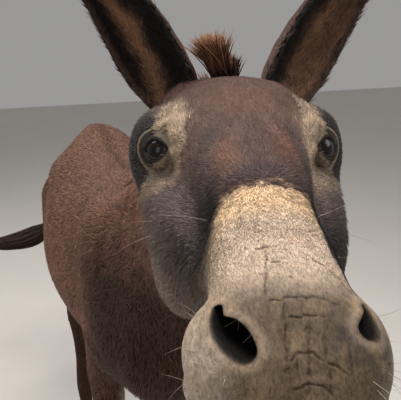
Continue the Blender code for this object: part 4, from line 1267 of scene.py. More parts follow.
skin_hues, skin_bare = markings(skin_points, skin_normals, skin_notes)
skin = add_piece("skin", skin_points, skin_triangles, hide, skin_hues)
along_face = in_head(skin_points)
grain_place = np.where((along_face[:, 1] > -0.15)[:, None], along_face[:, [0, 1, 2]], skin_points)
add_note(skin.data, "bare", "FLOAT", skin_bare)
add_note(skin.data, "grain", "FLOAT_VECTOR", grain_place)
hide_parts("head", "muzzle", "lower_jaw", "neck", "trunk", "tail_dock", "fore_leg_left",
            "fore_leg_right", "hind_leg_left", "hind_leg_right", "ear_left", "ear_right")


# ---------------------------------------------------------------- eyes
# Each eye is a wet ball with a clear bulge in front. Behind it lie a brown iris and a pupil that is a
# level oval; a blue-grey ring borders the clear part, and only a little of the white shows.

EYE_LOOKS = np.array((0.66, 0.67, 0.30))         # the left eye, in the head's axes
CLEAR_ANGLE = math.radians(41.0)
EYE_SEGMENTS, EYE_ROWS = 72, 56

eyeball = Finish("eyeball", Roughness=0.25, Coat_Weight=1.0, Coat_Roughness=0.02, Coat_IOR=1.36,
                 Specular_IOR_Level=0.0)
gaze = eyeball.node("ShaderNodeSeparateXYZ", Vector=eyeball.attribute("gaze", "Vector"))
level_off, upright = eyeball.out(gaze, "X"), eyeball.out(gaze, "Y")
out_from = (level_off * level_off + upright * upright) ** 0.5
in_pupil = ((level_off * 2.05) ** 2.0 + (upright * 3.6) ** 2.0) ** 0.5
fibres = eyeball.noise(eyeball.attribute("gaze", "Vector"), 26.0, 5.0, 0.7)
iris = eyeball.mixed(fibres, (0.004, 0.002, 0.0015, 1), (0.018, 0.008, 0.004, 1))
iris = eyeball.mixed(eyeball.span(in_pupil, 0.9, 1.08), (0.002, 0.002, 0.003, 1), iris)
edge_ring = eyeball.mixed(eyeball.span(fibres, 0.3, 0.7), (0.075, 0.062, 0.060, 1), (0.20, 0.165, 0.140, 1))
ball = eyeball.mixed(eyeball.span(out_from, 0.93, 1.06), iris, edge_ring)
ball = eyeball.mixed(eyeball.span(out_from, 1.10, 1.30), ball, (0.045, 0.026, 0.020, 1))
eyeball.to("Base Color", ball)
eyeball.to("Roughness", 0.20 + 0.10 * fibres)

for side, word in SIDE_WORDS:
    look = left_or_right(EYE_LOOKS, side)
    look /= np.linalg.norm(look)
    flat = np.cross(np.array(HEAD_UP), look)
    flat /= np.linalg.norm(flat)
    rise = np.cross(look, flat)
    tilts = np.linspace(0, math.pi, EYE_ROWS + 1)[1:-1]
    turns = np.linspace(0, 2 * math.pi, EYE_SEGMENTS, endpoint=False)
    tilt, turn = (grid.ravel() for grid in np.meshgrid(tilts, turns, indexing="ij"))
    tilt, turn = np.concatenate([[0.0], tilt, [math.pi]]), np.concatenate([[0.0], turn, [0.0]])
    unit = (np.cos(tilt)[:, None] * look + (np.sin(tilt) * np.cos(turn))[:, None] * flat
            + (np.sin(tilt) * np.sin(turn))[:, None] * rise)
    bulge = EYE_RADIUS - 0.0009 + 0.0007 * smooth(CLEAR_ANGLE, CLEAR_ANGLE * 0.6, tilt)
    points = unit * bulge[:, None] + out_of_head(eye_middle(side)[None])
    rows = 1 + np.arange(EYE_ROWS - 1)[:, None] * EYE_SEGMENTS + np.arange(EYE_SEGMENTS)[None]
    beyond = np.roll(rows, -1, 1)
    a, b, c, d = rows[:-1], rows[1:], beyond[1:], beyond[:-1]
    end = len(points) - 1
    triangles = np.concatenate([
        np.stack([a, b, c], -1).reshape(-1, 3), np.stack([a, c, d], -1).reshape(-1, 3),
        np.stack([np.zeros(EYE_SEGMENTS, int), rows[0], beyond[0]], 1),
        np.stack([np.full(EYE_SEGMENTS, end), beyond[-1], rows[-1]], 1),
    ])
    eye = add_piece(f"eyeball_{word}", points, triangles, eyeball)
    out_of_axis = np.sin(tilt) / math.sin(CLEAR_ANGLE)
    out_of_axis = np.where(tilt > math.pi / 2, 2.0, out_of_axis)
    add_note(eye.data, "gaze", "FLOAT_VECTOR",
             np.stack([out_of_axis * np.cos(turn), out_of_axis * np.sin(turn), np.zeros(len(tilt))], 1))
    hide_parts(f"eye_{word}")


# ---------------------------------------------------------------- hooves
# Each foot ends in a narrow upright hoof of dark grey horn. It grows down from the soft band at the
# coronet, so fine grain runs down it and faint rings of growth run round it, and its lower edge is worn.

HOOF_SOLE = (0.0375, 0.0495)         # half width and half length at the ground
HOOF_TOP = (0.0318, 0.0352)
HEEL_SHARE = 0.82                    # the heels lie this much nearer than the toe
TOE_SLOPE = 0.022                    # how far the sole lies ahead of the coronet
CORONET_SLOPE = math.radians(16.0)   # the band falls back towards the heels
RING_HEIGHT, RING_TURNS = 0.0002, 42.0
BAND_SWELL, EDGE_WEAR = 0.0007, 0.0010
HOOF_RINGS, HOOF_POINTS = 40, 64

horn = Finish("horn", Roughness=0.5, Specular_IOR_Level=0.4)
place = horn.attribute("growth", "Vector")
down_it = horn.noise(horn.stretched(place, (60.0, 60.0, 5.0)), 4.0, 4.0, 0.6)
rings = horn.noise(horn.stretched(place, (1.5, 1.5, 90.0)), 1.0, 2.0)
dust = horn.noise(horn.out(horn.node("ShaderNodeTexCoord"), "Object"), 70.0, 5.0, 0.7)
wall = horn.mixed(horn.span(down_it, 0.35, 0.65), (0.028, 0.024, 0.021, 1), (0.085, 0.071, 0.057, 1))
wall = horn.mixed(horn.span(rings, 0.35, 0.65) * 0.3, wall, (0.11, 0.092, 0.072, 1))
wall = horn.mixed(horn.span(dust, 0.55, 0.75) * 0.6, wall, (0.18, 0.142, 0.100, 1))
horn.to("Base Color", wall)
horn.to("Roughness", 0.45 + 0.3 * dust)
horn.bumped([(rings, 0.0004), (down_it, 0.0004)])


def hoof_piece(name, x, y):
    points, growth = [], []
    shares = np.concatenate([[0.0], np.linspace(0, 1, HOOF_RINGS - 2), [1.04]])
    for step, share in enumerate(shares):
        wide, long = (a + (b - a) * share for a, b in zip(HOOF_SOLE, HOOF_TOP))
        ridge = RING_HEIGHT * math.sin(share * RING_TURNS)
        ridge += BAND_SWELL * smooth(0.90, 0.97, share) - EDGE_WEAR * smooth(0.10, 0.0, share)
        shrink = 0.55 if step == 0 else 0.82 if step == len(shares) - 1 else 1.0
        for turn in np.linspace(0, 2 * math.pi, HOOF_POINTS, endpoint=False):
            px, py = (wide + ridge) * math.sin(turn), -(long + ridge) * math.cos(turn)
            py = py if py < 0 else py * HEEL_SHARE
            top = FORE_HOOF.z - py * math.tan(CORONET_SLOPE) - 0.0012
            lift = 0.004 if step == 0 else 0.0003
            toe = TOE_SLOPE * (1 - min(share, 1))
            points.append((x + px * shrink, y - toe + py * shrink, lift + top * share))
            growth.append((px, py, share))
    points = np.array(points)
    hoof = add_piece(name, points, ring_triangles(points, len(shares)), horn)
    add_note(hoof.data, "growth", "FLOAT_VECTOR", growth)
    return hoof


for side, word in SIDE_WORDS:
    fore = hoof_piece(f"horn_fore_{word}", side * FORE_HOOF.x, FORE_HOOF.y)
    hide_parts(f"hoof_fore_{word}")
    hind = hoof_piece(f"horn_hind_{word}", side * HIND_HOOF_X, HIND_HOOF_Y[side])
    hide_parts(f"hoof_hind_{word}")


# ---------------------------------------------------------------- coat
# Short hair grows over all of the skin but the lids, nostrils and the end of the muzzle. It lies back and
# down from a whorl on the face, clings together in small tufts, and is dark at the root and paler or
# redder at the tip. It is shortest on the nose and the feet.

LIE_OF_BODY = (   # place, then the way the hair runs there, for the left side
    ((0.03, -0.58, 1.20), (0.05, 0.80, -0.60)), ((0.00, -0.50, 1.28), (0.0, 0.95, -0.30)),
    ((0.02, -0.52, 1.06), (0.0, 0.45, -0.90)), ((0.07, -0.42, 1.08), (0.05, 0.70, -0.72)),
    ((0.00, -0.20, 1.12), (0.0, 1.0, -0.12)), ((0.16, -0.25, 0.90), (0.0, 0.50, -0.86)),
    ((0.00, -0.44, 0.86), (0.0, 0.10, -1.0)), ((0.08, -0.40, 0.74), (0.0, 0.30, -0.95)),
    ((0.22, 0.10, 0.85), (0.0, 0.80, -0.60)), ((0.17, 0.14, 0.64), (-0.25, 0.85, -0.35)),
    ((0.00, 0.10, 0.58), (0.0, 1.0, 0.0)), ((0.00, 0.20, 1.09), (0.0, 1.0, -0.05)),
    ((0.12, 0.20, 1.03), (0.25, 0.90, -0.35)), ((0.00, 0.45, 1.12), (0.0, 1.0, -0.25)),
    ((0.17, 0.46, 0.90), (0.0, 0.50, -0.86)), ((0.15, 0.34, 0.72), (0.0, 0.45, -0.90)),
    ((0.08, 0.63, 0.85), (0.0, 0.15, -1.0)), ((0.12, -0.20, 0.60), (0.0, 0.12, -1.0)),
    ((0.12, 0.55, 0.58), (0.0, 0.15, -1.0)), ((0.12, -0.20, 0.30), (0.0, 0.06, -1.0)),
    ((0.11, 0.45, 0.30), (0.0, 0.06, -1.0)), ((0.11, 0.62, 0.30), (0.0, 0.06, -1.0)),
)
WHORL = (0.0, 0.143, 0.005)


def unit_rows(vectors):
    return vectors / np.maximum(sizes_of(vectors), 1e-9)[:, None]


def lie_of_hair(points, normals, notes):
    """The way hair runs at each place, along the skin."""
    total = np.zeros_like(points)
    for place, way in LIE_OF_BODY:
        for side in SIDES:
            off = points - np.array(place) * mirror(side)
            total += np.array(way) * mirror(side) / ((off**2).sum(1) + 0.0008)[:, None] ** 2
    total = unit_rows(total)
    dock = np.array([row[:3] for row in DOCK_CURVE])
    for first, second in zip(dock, dock[1:]):
        near = bell(sizes_of(points - (first + second) / 2), 0.05)
        total += unit_rows((second - first)[None]) * (3 * near * smooth(0.63, 0.67, points[:, 1]))[:, None]
    at = in_head(points)
    out = unit_rows(at - np.array(WHORL))
    for side in SIDES:
        off = at - eye_middle(side)
        out = out + 0.5 * smooth(0.055, 0.030, sizes_of(off))[:, None] * unit_rows(off)
    total += (unit_rows(out @ HEAD_TURN) * 3 - total) * smooth(-0.18, -0.13, at[:, 1])[:, None]
    for side in SIDES:
        along, _, across = ear_axes(side)
        sideways = notes[:, 1:2] * across * np.where(notes[:, 2:3] > 0.5, -0.25, 0.10)
        this = (notes[:, 0] > -0.5) & (at[:, 0] * side > 0)
        total[this] = (along + sideways)[this]
    total -= normals * (total * normals).sum(1)[:, None]
    return unit_rows(total)


def sow(chosen, wanted, seed, weight=None):
    """Roots spread at random over the chosen triangles of the skin, thicker where weight is greater."""
    chance = np.random.default_rng(seed)
    faces = skin_triangles[chosen]
    a, b, c = (skin_points[faces[:, k]] for k in range(3))
    area = sizes_of(np.cross(b - a, c - a))
    share = area * (1 if weight is None else weight)
    picked = chance.choice(len(faces), size=wanted, p=share / share.sum())
    u, v = chance.random(wanted), chance.random(wanted)
    over = u + v > 1
    u, v = np.where(over, 1 - u, u), np.where(over, 1 - v, v)
    parts = np.stack([1 - u - v, u, v], 1)

    def at_root(values):
        return (values[faces[picked]] * parts[:, :, None]).sum(1)

    return {
        "place": at_root(skin_points), "normal": unit_rows(at_root(skin_normals)),
        "notes": at_root(skin_notes), "face": chosen[picked], "parts": parts, "chance": chance,
    }


def unwrap_of(chosen):
    """For each corner of the chosen triangles, its place on an unwrap of that stretch of skin."""
    used, faces = np.unique(skin_triangles[chosen], return_inverse=True)
    faces = faces.reshape(-1, 3)
    mesh = bpy.data.meshes.new("pattern")
    mesh.from_pydata(skin_points[used].tolist(), [], faces.tolist())
    pattern = added("pattern", mesh)
    mesh.uv_layers.new(name="OFBake")
    bpy.context.view_layer.objects.active = pattern
    bpy.ops.object.mode_set(mode="EDIT")
    bpy.ops.mesh.select_all(action="SELECT")
    bpy.ops.uv.smart_project(angle_limit=math.radians(66), island_margin=0.004, scale_to_bounds=True)
    bpy.ops.object.mode_set(mode="OBJECT")
    places = numbers(mesh.uv_layers["OFBake"].data, "uv", 2).reshape(-1, 3, 2).astype(float)
    bpy.data.objects.remove(pattern)
    bpy.data.meshes.remove(mesh)
    return places


PATCH = 0.003              # a tuft's size on the bake map
DROOP = 0.35               # how much of its rise a tuft loses again by its tip
PLUMP = 0.9                # a long lock's thickness over its width
TRIPLE = ((1.0, 0.0), (0.0, PLUMP), (-1.0, 0.0))   # across and out, for the three points of a ring


def bundled(stack, hues, flats, rings):
    """Many like locks as one mesh, from one row for each point of a lock: places, colours, map places."""
    count, per = len(stack[0]), len(stack)
    faces = [(0, 1, 2), (0, 2, 3), (0, 3, 1), (1, 3, 2)]
    if rings > 1:
        faces = [(0, 1 + k, 1 + (k + 1) % 3) for k in range(3)]
        for ring in range(rings - 1):
            a, b = 1 + 3 * ring, 4 + 3 * ring
            for k in range(3):
                m = (k + 1) % 3
                faces += [(a + k, b + k, b + m), (a + k, b + m, a + m)]
        faces += [(per - 1, per - 4 + (k + 1) % 3, per - 4 + k) for k in range(3)]
    points = np.stack(stack, 1).reshape(-1, 3)
    one = facing_out(points[:per], np.array(faces))
    triangles = (np.arange(count)[:, None, None] * per + one[None]).reshape(-1, 3)
    colours = np.stack([np.broadcast_to(hue, (count, 3)) for hue in hues], 1).reshape(-1, 3)
    return points, triangles, np.clip(colours, 0, 1), np.stack(flats, 1).reshape(-1, 2) * PATCH, per


def locks(roots, way, length, width, lift, curl, root_hue, tip_hue, rings=1, stand=None):
    """Closed tapering tufts, bent along the skin.

    A short tuft has one ring, of two points, and a long one has more, of three.
    """
    place, normal = roots["place"], roots["normal"] if stand is None else stand
    count = len(place)
    length, width, lift, curl = (np.broadcast_to(v, count)[:, None] for v in (length, width, lift, curl))
    side = unit_rows(np.cross(normal, way))
    shares = (0.42,) if rings == 1 else tuple(np.linspace(0.16, 0.80, rings))
    round_it = (TRIPLE[0], TRIPLE[2]) if rings == 1 else TRIPLE
    profile = [math.sin(math.pi * min(0.18 + share * 0.75, 1)) for share in shares]

    def along(share):
        rise = length * (np.sin(lift) * share - DROOP * np.sin(lift) * share**2)
        ahead = way * (length * np.cos(lift) * share)
        return place + ahead + normal * rise + side * (length * curl * share**2)

    stack, hues = [place - normal * 0.0008], [root_hue]
    flats = [np.tile((0.0, -0.5), (count, 1))]
    for share, wide in zip(shares, profile):
        middle, half = along(share), width * (wide / 2)
        shade = root_hue + (tip_hue - root_hue) * min(1.0, share * 1.5)
        for off, raised in round_it:
            stack.append(middle + side * half * off + normal * half * raised)
            hues.append(shade)
            flats.append(np.tile((0.35 * off, share - 0.5 + 0.12 * raised), (count, 1)))
    stack.append(along(1.0))
    hues.append(tip_hue)
    flats.append(np.tile((0.0, 0.5), (count, 1)))
    return bundled(stack, hues, flats, rings)


hair = Finish("hair", Roughness=0.55, Sheen_Weight=0.02, Sheen_Roughness=0.45, Specular_IOR_Level=0.20)
strand = hair.attribute("hue")
fleck = hair.noise(hair.out(hair.node("ShaderNodeTexCoord"), "Object"), 260.0, 3.0, 0.7)
flecked = hair.mixed(hair.span(fleck, 0.35, 0.65), (0.80, 0.79, 0.78, 1), (1.20, 1.18, 1.15, 1))
hair.to("Base Color", hair.mixed(1.0, strand, flecked, "MULTIPLY"))
hair.to("Roughness", 0.48 + 0.25 * fleck)


def coat_piece(name, chosen, wanted, seed, length, width, lift, weight=None,
               tip=(1.30, 1.18, 1.10), shade=0.62):
    """One stretch of the coat over the chosen triangles of the skin, with its map places."""
    roots = sow(chosen, wanted, seed, weight)
    chance, place, normal = roots["chance"], roots["place"], roots["normal"]
    way = lie_of_hair(place, normal, roots["notes"])
    swing = 0.13 * chance.normal(size=wanted) + 0.16 * ripple(place, 0.060, seed + 1)
    swing += 0.10 * ripple(place, 0.014, seed + 2)
    way = unit_rows(way + np.cross(normal, way) * swing[:, None])
    hues, naked = markings(place, normal, roots["notes"])
    keep = chance.random(wanted) > naked * 1.6
    own = np.exp(0.14 * chance.normal(size=(wanted, 1)) + 0.12 * ripple(place, 0.018, seed + 3)[:, None])
    hues = hues * own

    def size(value):
        return np.broadcast_to(value(place) if callable(value) else value, wanted)

    long = size(length) * chance.uniform(0.72, 1.28, wanted)
    wide = size(width) * chance.uniform(0.75, 1.25, wanted)
    steep = size(lift) * chance.uniform(0.65, 1.35, wanted)
    tips = hues * np.array(tip)
    bleached = chance.random(wanted) < 0.10
    tips = np.where(bleached[:, None], tips * 1.45, tips)
    curl = 0.18 * chance.normal(size=wanted)
    for key in ("place", "normal", "notes", "face", "parts"):
        roots[key] = roots[key][keep]
    made = locks(
        roots, way[keep], long[keep], wide[keep], steep[keep], curl[keep], hues[keep] * shade, tips[keep])
    return finished_coat(name, roots, chosen, *made)


def finished_coat(name, roots, chosen, points, triangles, colours, flats, per):
    piece = add_piece(name, points, triangles, hair, colours)
    corners = unwrap_of(chosen)[np.searchsorted(chosen, roots["face"])]
    centre = (corners * roots["parts"][:, :, None]).sum(1)
    places = np.clip(np.repeat(centre, per, axis=0) + flats, 0, 1)
    layer = piece.data.uv_layers.new(name="OFBake")
    layer.data.foreach_set("uv", places[triangles.ravel()].astype(np.float32).ravel())
    return piece


face_middles = skin_points[skin_triangles].mean(1)
face_notes = skin_notes[skin_triangles].mean(1)
head_middles = in_head(face_middles)
x, y, z = face_middles.T
lateral, forward, up = head_middles.T
is_ear = face_notes[:, 0] > -0.5
is_head = (forward > -0.145) & ~is_ear & (y < -0.45)
is_dock = (y > 0.655) & (z < 1.02) & (np.abs(x) < 0.2) & ~is_ear & (np.abs(x + 0.06) < 0.14)
is_leg = (z < 0.60) & ~is_head & ~is_dock
is_neck = (y < -0.33) & ~is_head & ~is_ear & ~is_leg
is_trunk = ~(is_ear | is_head | is_dock | is_leg | is_neck)
on_left = x > 0


def leg_length(place):
    return 0.011 + 0.013 * smooth(0.38, 0.60, place[:, 2]) + 0.011 * smooth(0.110, 0.085, place[:, 2])


def leg_lift(place):
    return 0.15 + 0.30 * smooth(0.105, 0.085, place[:, 2])


for name, region, wanted, length, width, lift in (
    ("coat_trunk_right", is_trunk & ~on_left, 33000, 0.027, 0.0019, 0.17),
    ("coat_trunk_left", is_trunk & on_left, 30000, 0.027, 0.0020, 0.17),
    ("coat_neck_right", is_neck & (lateral < 0), 18000, 0.028, 0.0017, 0.20),
    ("coat_neck_left", is_neck & (lateral >= 0), 15000, 0.028, 0.0018, 0.20),
    ("coat_foreleg_right", is_leg & ~on_left & (y < 0.1), 8000, leg_length, 0.0017, leg_lift),
    ("coat_foreleg_left", is_leg & on_left & (y < 0.1), 8000, leg_length, 0.0017, leg_lift),
    ("coat_hindleg_right", is_leg & ~on_left & (y >= 0.1), 9500, leg_length, 0.0017, leg_lift),
    ("coat_hindleg_left", is_leg & on_left & (y >= 0.1), 9500, leg_length, 0.0017, leg_lift),
    ("coat_dock", is_dock, 4000, 0.030, 0.0018, 0.16),
):
    coat_piece(name, np.flatnonzero(region), wanted, len(name) * 7 + wanted, length, width, lift)

NOSE_EDGE = 0.150


def face_length(place):
    at = in_head(place)
    long = 0.0125 + 0.005 * smooth(-0.02, -0.10, at[:, 1]) + 0.003 * smooth(-0.01, -0.06, at[:, 2])
    long = long - 0.0050 * smooth(0.045, 0.030, past_eyes(at)) - 0.004 * smooth(0.09, 0.15, at[:, 1])
    return np.maximum(long, 0.0055)


def nose_length(place):
    at = in_head(place)
    return 0.0062 - 0.0034 * smooth(0.17, 0.24, at[:, 1])


def nose_weight(chosen):
    at = head_middles[chosen]
    return 0.25 + smooth(0.27, 0.20, at[:, 1]) + 0.6 * smooth(-0.03, -0.06, at[:, 2])


upper = is_head & (up > -0.045) & (forward <= NOSE_EDGE)
under = is_head & (up <= -0.045) & (forward <= NOSE_EDGE + 0.015)
nose = is_head & ~upper & ~under


def near_camera(chosen):
    """More tufts on the top and the front of the face than below and behind."""
    at = head_middles[chosen]
    return 0.7 + 0.6 * (at[:, 2] > 0.0) + 0.5 * (at[:, 1] > 0)


FACE_HAIR = {"tip": (1.20, 1.14, 1.11), "shade": 0.55}
NOSE_HAIR = {"tip": (1.04, 1.03, 1.02), "shade": 0.92}
for name, region, wanted, length, width, lift, weight, tones in (
    ("coat_face_right", upper & (lateral < 0), 40000, face_length, 0.00085, 0.16, near_camera, FACE_HAIR),
    ("coat_face_left", upper & (lateral >= 0), 36000, face_length, 0.00085, 0.16, near_camera, FACE_HAIR),
    ("coat_jaw_right", under & (lateral < 0), 19000, face_length, 0.0011, 0.14, None, FACE_HAIR),
    ("coat_jaw_left", under & (lateral >= 0), 16000, face_length, 0.0012, 0.14, None, FACE_HAIR),
    ("coat_nose_right", nose & (lateral < 0), 24000, nose_length, 0.0005, 0.09, nose_weight, NOSE_HAIR),
    ("coat_nose_left", nose & (lateral >= 0), 21000, nose_length, 0.0005, 0.09, nose_weight, NOSE_HAIR),
):
    chosen = np.flatnonzero(region)
    thicker = weight(chosen) if weight else None
    coat_piece(name, chosen, wanted, 900 + wanted, length, width, lift, thicker, **tones)


for side, word in SIDE_WORDS:
    for part, inside, wanted, length, width, lift in (
        ("back", False, 13000, 0.0070, 0.0009, 0.09),
        ("hollow", True, 11000, 0.015, 0.0008, 0.30),
    ):
        region = is_ear & (lateral * side > 0) & ((face_notes[:, 2] > 0.5) == inside)
        chosen = np.flatnonzero(region & (face_notes[:, 0] > -0.02))
        coat_piece(f"coat_ear_{part}_{word}", chosen, wanted, 400 + wanted + side, length, width, lift)


# ---------------------------------------------------------------- mane and forelock
# Coarse stiff hair stands up along the crest of the neck in a short upright mane, and ends between the
# ears in a forelock that leans to the donkey's right, near black at the root and rusty at the tips.

MANE_COUNT, FORELOCK_COUNT = 3600, 1500
MANE_HEIGHT, MANE_SPREAD = 0.060, 0.0075


def rooted(place, chance, chosen):
    """Roots at given places just over the skin, each tied to the nearest triangle for its map place."""
    place = drawn_onto(place, -coat_depth(place))
    tree = KDTree(len(chosen))
    for k, middle in enumerate(face_middles[chosen]):
        tree.insert(middle, k)
    tree.balance()
    face = chosen[[tree.find(point)[1] for point in place]]
    normal = unit_rows(skin_normals[skin_triangles[face]].mean(1))
    return {
        "place": place, "normal": normal, "notes": np.tile(NO_NOTES, (len(place), 1)),
        "face": face, "parts": np.full((len(place), 3), 1 / 3), "chance": chance,
    }


def between_rows(rows, k, part):
    """Rows of numbers, each read part of the way from row k to the next."""
    return rows[k] * (1 - part) + rows[k + 1] * part


crest = neck_masses()[0]
chance = np.random.default_rng(71)
share = chance.random(MANE_COUNT)
step = share * 17.0
k = step.astype(int)
part = (step - k)[:, None]
rise = np.cross(crest.across, crest.along)
line = crest.spine + rise * crest.top[:, None]
base = between_rows(line, k, part)
start = np.array(on_head(0, -0.150, 0.030))
base = base + ((start - line[0]) * np.clip(1 - step / 3.0, 0, 1)[:, None] ** 2)
across = crest.across[k]
off = chance.normal(size=MANE_COUNT)
beneath = np.flatnonzero(is_neck | is_head | is_trunk)
roots = rooted(base + across * (off * MANE_SPREAD)[:, None], chance, beneath)
outward = 0.16 * off + 0.08 * chance.normal(size=MANE_COUNT)
upward = unit_rows(rise[k] + across * outward[:, None])
back = 0.22 + 0.12 * chance.normal(size=MANE_COUNT) + 0.12 * ripple(base, 0.03, 72)
way = unit_rows(upward + crest.along[k] * back[:, None])
tall = MANE_HEIGHT * (0.55 + 0.45 * np.sin(math.pi * np.minimum(0.15 + share * 0.95, 1))) + 0.010
tall = tall * chance.uniform(0.70, 1.0, MANE_COUNT) * (1 - 0.10 * np.abs(off))
tall = tall * (1 - 0.75 * smooth(0.72, 1.0, share))
dark = np.tile((0.034, 0.020, 0.016), (MANE_COUNT, 1)) * np.exp(0.3 * chance.normal(size=(MANE_COUNT, 1)))
rusty = dark * np.where(chance.random(MANE_COUNT) < 0.35, 3.2, 1.5)[:, None] * (1.15, 0.85, 0.75)
made = locks(
    roots, way, tall, 0.0022, 0.0, 0.10 * chance.normal(size=MANE_COUNT), dark, rusty, rings=3,
    stand=unit_rows(np.cross(way, across)))
mane = finished_coat("mane_hair", roots, np.unique(roots["face"]), *made)
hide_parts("mane")

chance = np.random.default_rng(81)
spread = np.clip(chance.normal(size=(FORELOCK_COUNT, 2)), -2, 2) * (0.0062, 0.0060)
base = np.array([on_head(-0.005 + a, -0.113 + b, 0.060) for a, b in spread])
roots = rooted(base, chance, np.flatnonzero(is_head))
stray = (chance.random(FORELOCK_COUNT) < 0.12) * chance.uniform(0.2, 0.6, FORELOCK_COUNT)
fan = np.stack([-0.36 + 2 * spread[:, 0] + stray, 0.16 + 4 * spread[:, 1], np.ones(FORELOCK_COUNT)], 1)
fan += chance.normal(size=fan.shape) * (0.04, 0.05, 0.0)
fan[:, :2] += 0.05 * np.stack([ripple(base, 0.008, seed) for seed in (82, 83)], 1)
way = unit_rows(fan @ HEAD_TURN)
tall = chance.uniform(0.048, 0.064, FORELOCK_COUNT)
tall = tall * (1 - 0.45 * smooth(0.001, 0.011, spread[:, 0] + stray / 40))
rust = smooth(0.30, 0.95, 0.75 * chance.random(FORELOCK_COUNT) + 0.5 * (spread[:, 0] < 0.003))[:, None]
dark = np.array((0.020, 0.010, 0.008)) * np.exp(0.3 * chance.normal(size=(FORELOCK_COUNT, 1)))
tips = dark * (1 - rust) + np.array((0.23, 0.100, 0.048)) * rust
made = locks(
    roots, way, tall, 0.0016, 0.0, 0.15 * chance.normal(size=FORELOCK_COUNT), dark, tips, rings=3,
    stand=unit_rows(np.cross(way, np.array(HEAD_LEFT)[None])))
forelock = finished_coat("forelock_hair", roots, np.unique(roots["face"]), *made)
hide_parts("forelock")


# ---------------------------------------------------------------- tail
# Below the fleshy dock the tail ends in a switch of long coarse hair, swung out to the donkey's right as
# if flicking at flies. The hairs hang together in locks that thin out to the end.

SWITCH_CURVE = (           # x, y, z, radius
    (-0.120, 0.751, 0.703, 0.012), (-0.172, 0.752, 0.660, 0.026), (-0.215, 0.753, 0.638, 0.037),
    (-0.275, 0.750, 0.626, 0.034), (-0.340, 0.742, 0.626, 0.025), (-0.400, 0.730, 0.636, 0.014),
    (-0.440, 0.720, 0.648, 0.004),
)
SWITCH_COUNT, SWITCH_RINGS = 3000, 7

chance = np.random.default_rng(91)
curve = through(SWITCH_CURVE, 60)
tangent = unit_rows(np.gradient(curve[:, :3], axis=0))
aside = unit_rows(np.cross(tangent, (0.0, 1.0, 0.0)))
over = np.cross(tangent, aside)
start = 40 * chance.random(SWITCH_COUNT) ** 1.5
reach = np.minimum(start + chance.uniform(14, 34, SWITCH_COUNT), 59)
turn, deep = chance.uniform(0, 2 * math.pi, SWITCH_COUNT), chance.random(SWITCH_COUNT) ** 0.6
clump = np.round(turn / 0.45) * 0.45
stack, hues, flats = [], [], []
shade = np.exp(0.35 * chance.normal(size=(SWITCH_COUNT, 1)))
dark = np.array((0.022, 0.014, 0.011)) * shade
tips = np.array((0.070, 0.036, 0.024)) * shade
shares = np.linspace(0, 1, SWITCH_RINGS + 2)
for share in shares:
    step = np.clip(start + (reach - start) * share, 0, 58.999)
    k, part = step.astype(int), (step % 1)[:, None]
    here, forth, sideways, upwards = (between_rows(rows, k, part) for rows in (curve, tangent, aside, over))
    bundle = turn * (1 - 0.7 * share) + clump * 0.7 * share + 0.25 * math.sin(5 * share) * (deep - 0.5)
    radius = here[:, 3:4] * (deep * (0.35 + 0.65 * min(1, share * 2.5)))[:, None]
    outward = sideways * np.cos(bundle)[:, None] + upwards * np.sin(bundle)[:, None]
    middle = here[:, :3] + outward * radius
    round_it = np.cross(forth, outward)
    hue_here = dark + (tips - dark) * share**2
    ends = share in (shares[0], shares[-1])
    for off, raised in ((0, 0),) if ends else ((1.0, 0.0), (0.0, 0.8), (-1.0, 0.0)):
        wide = 0.0015 * math.sin(math.pi * min(0.15 + 0.8 * share, 1))
        stack.append(middle + round_it * wide * off + outward * wide * raised)
        hues.append(hue_here)
        flats.append(np.tile((0.3 * off, share - 0.5 + 0.1 * raised), (SWITCH_COUNT, 1)))
roots = rooted(curve[np.minimum(start, 20).astype(int), :3], chance, np.flatnonzero(is_dock))
made = bundled(stack, hues, flats, SWITCH_RINGS)
switch = finished_coat("switch_hair", roots, np.flatnonzero(is_dock), *made)
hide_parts("tail_switch")


# ---------------------------------------------------------------- whiskers and lashes
# Stiff single hairs stand out of the lips, chin, muzzle and cheeks; shorter ones make the lashes of the
# upper lids. Each tapers from its root and bows a little under its own weight.

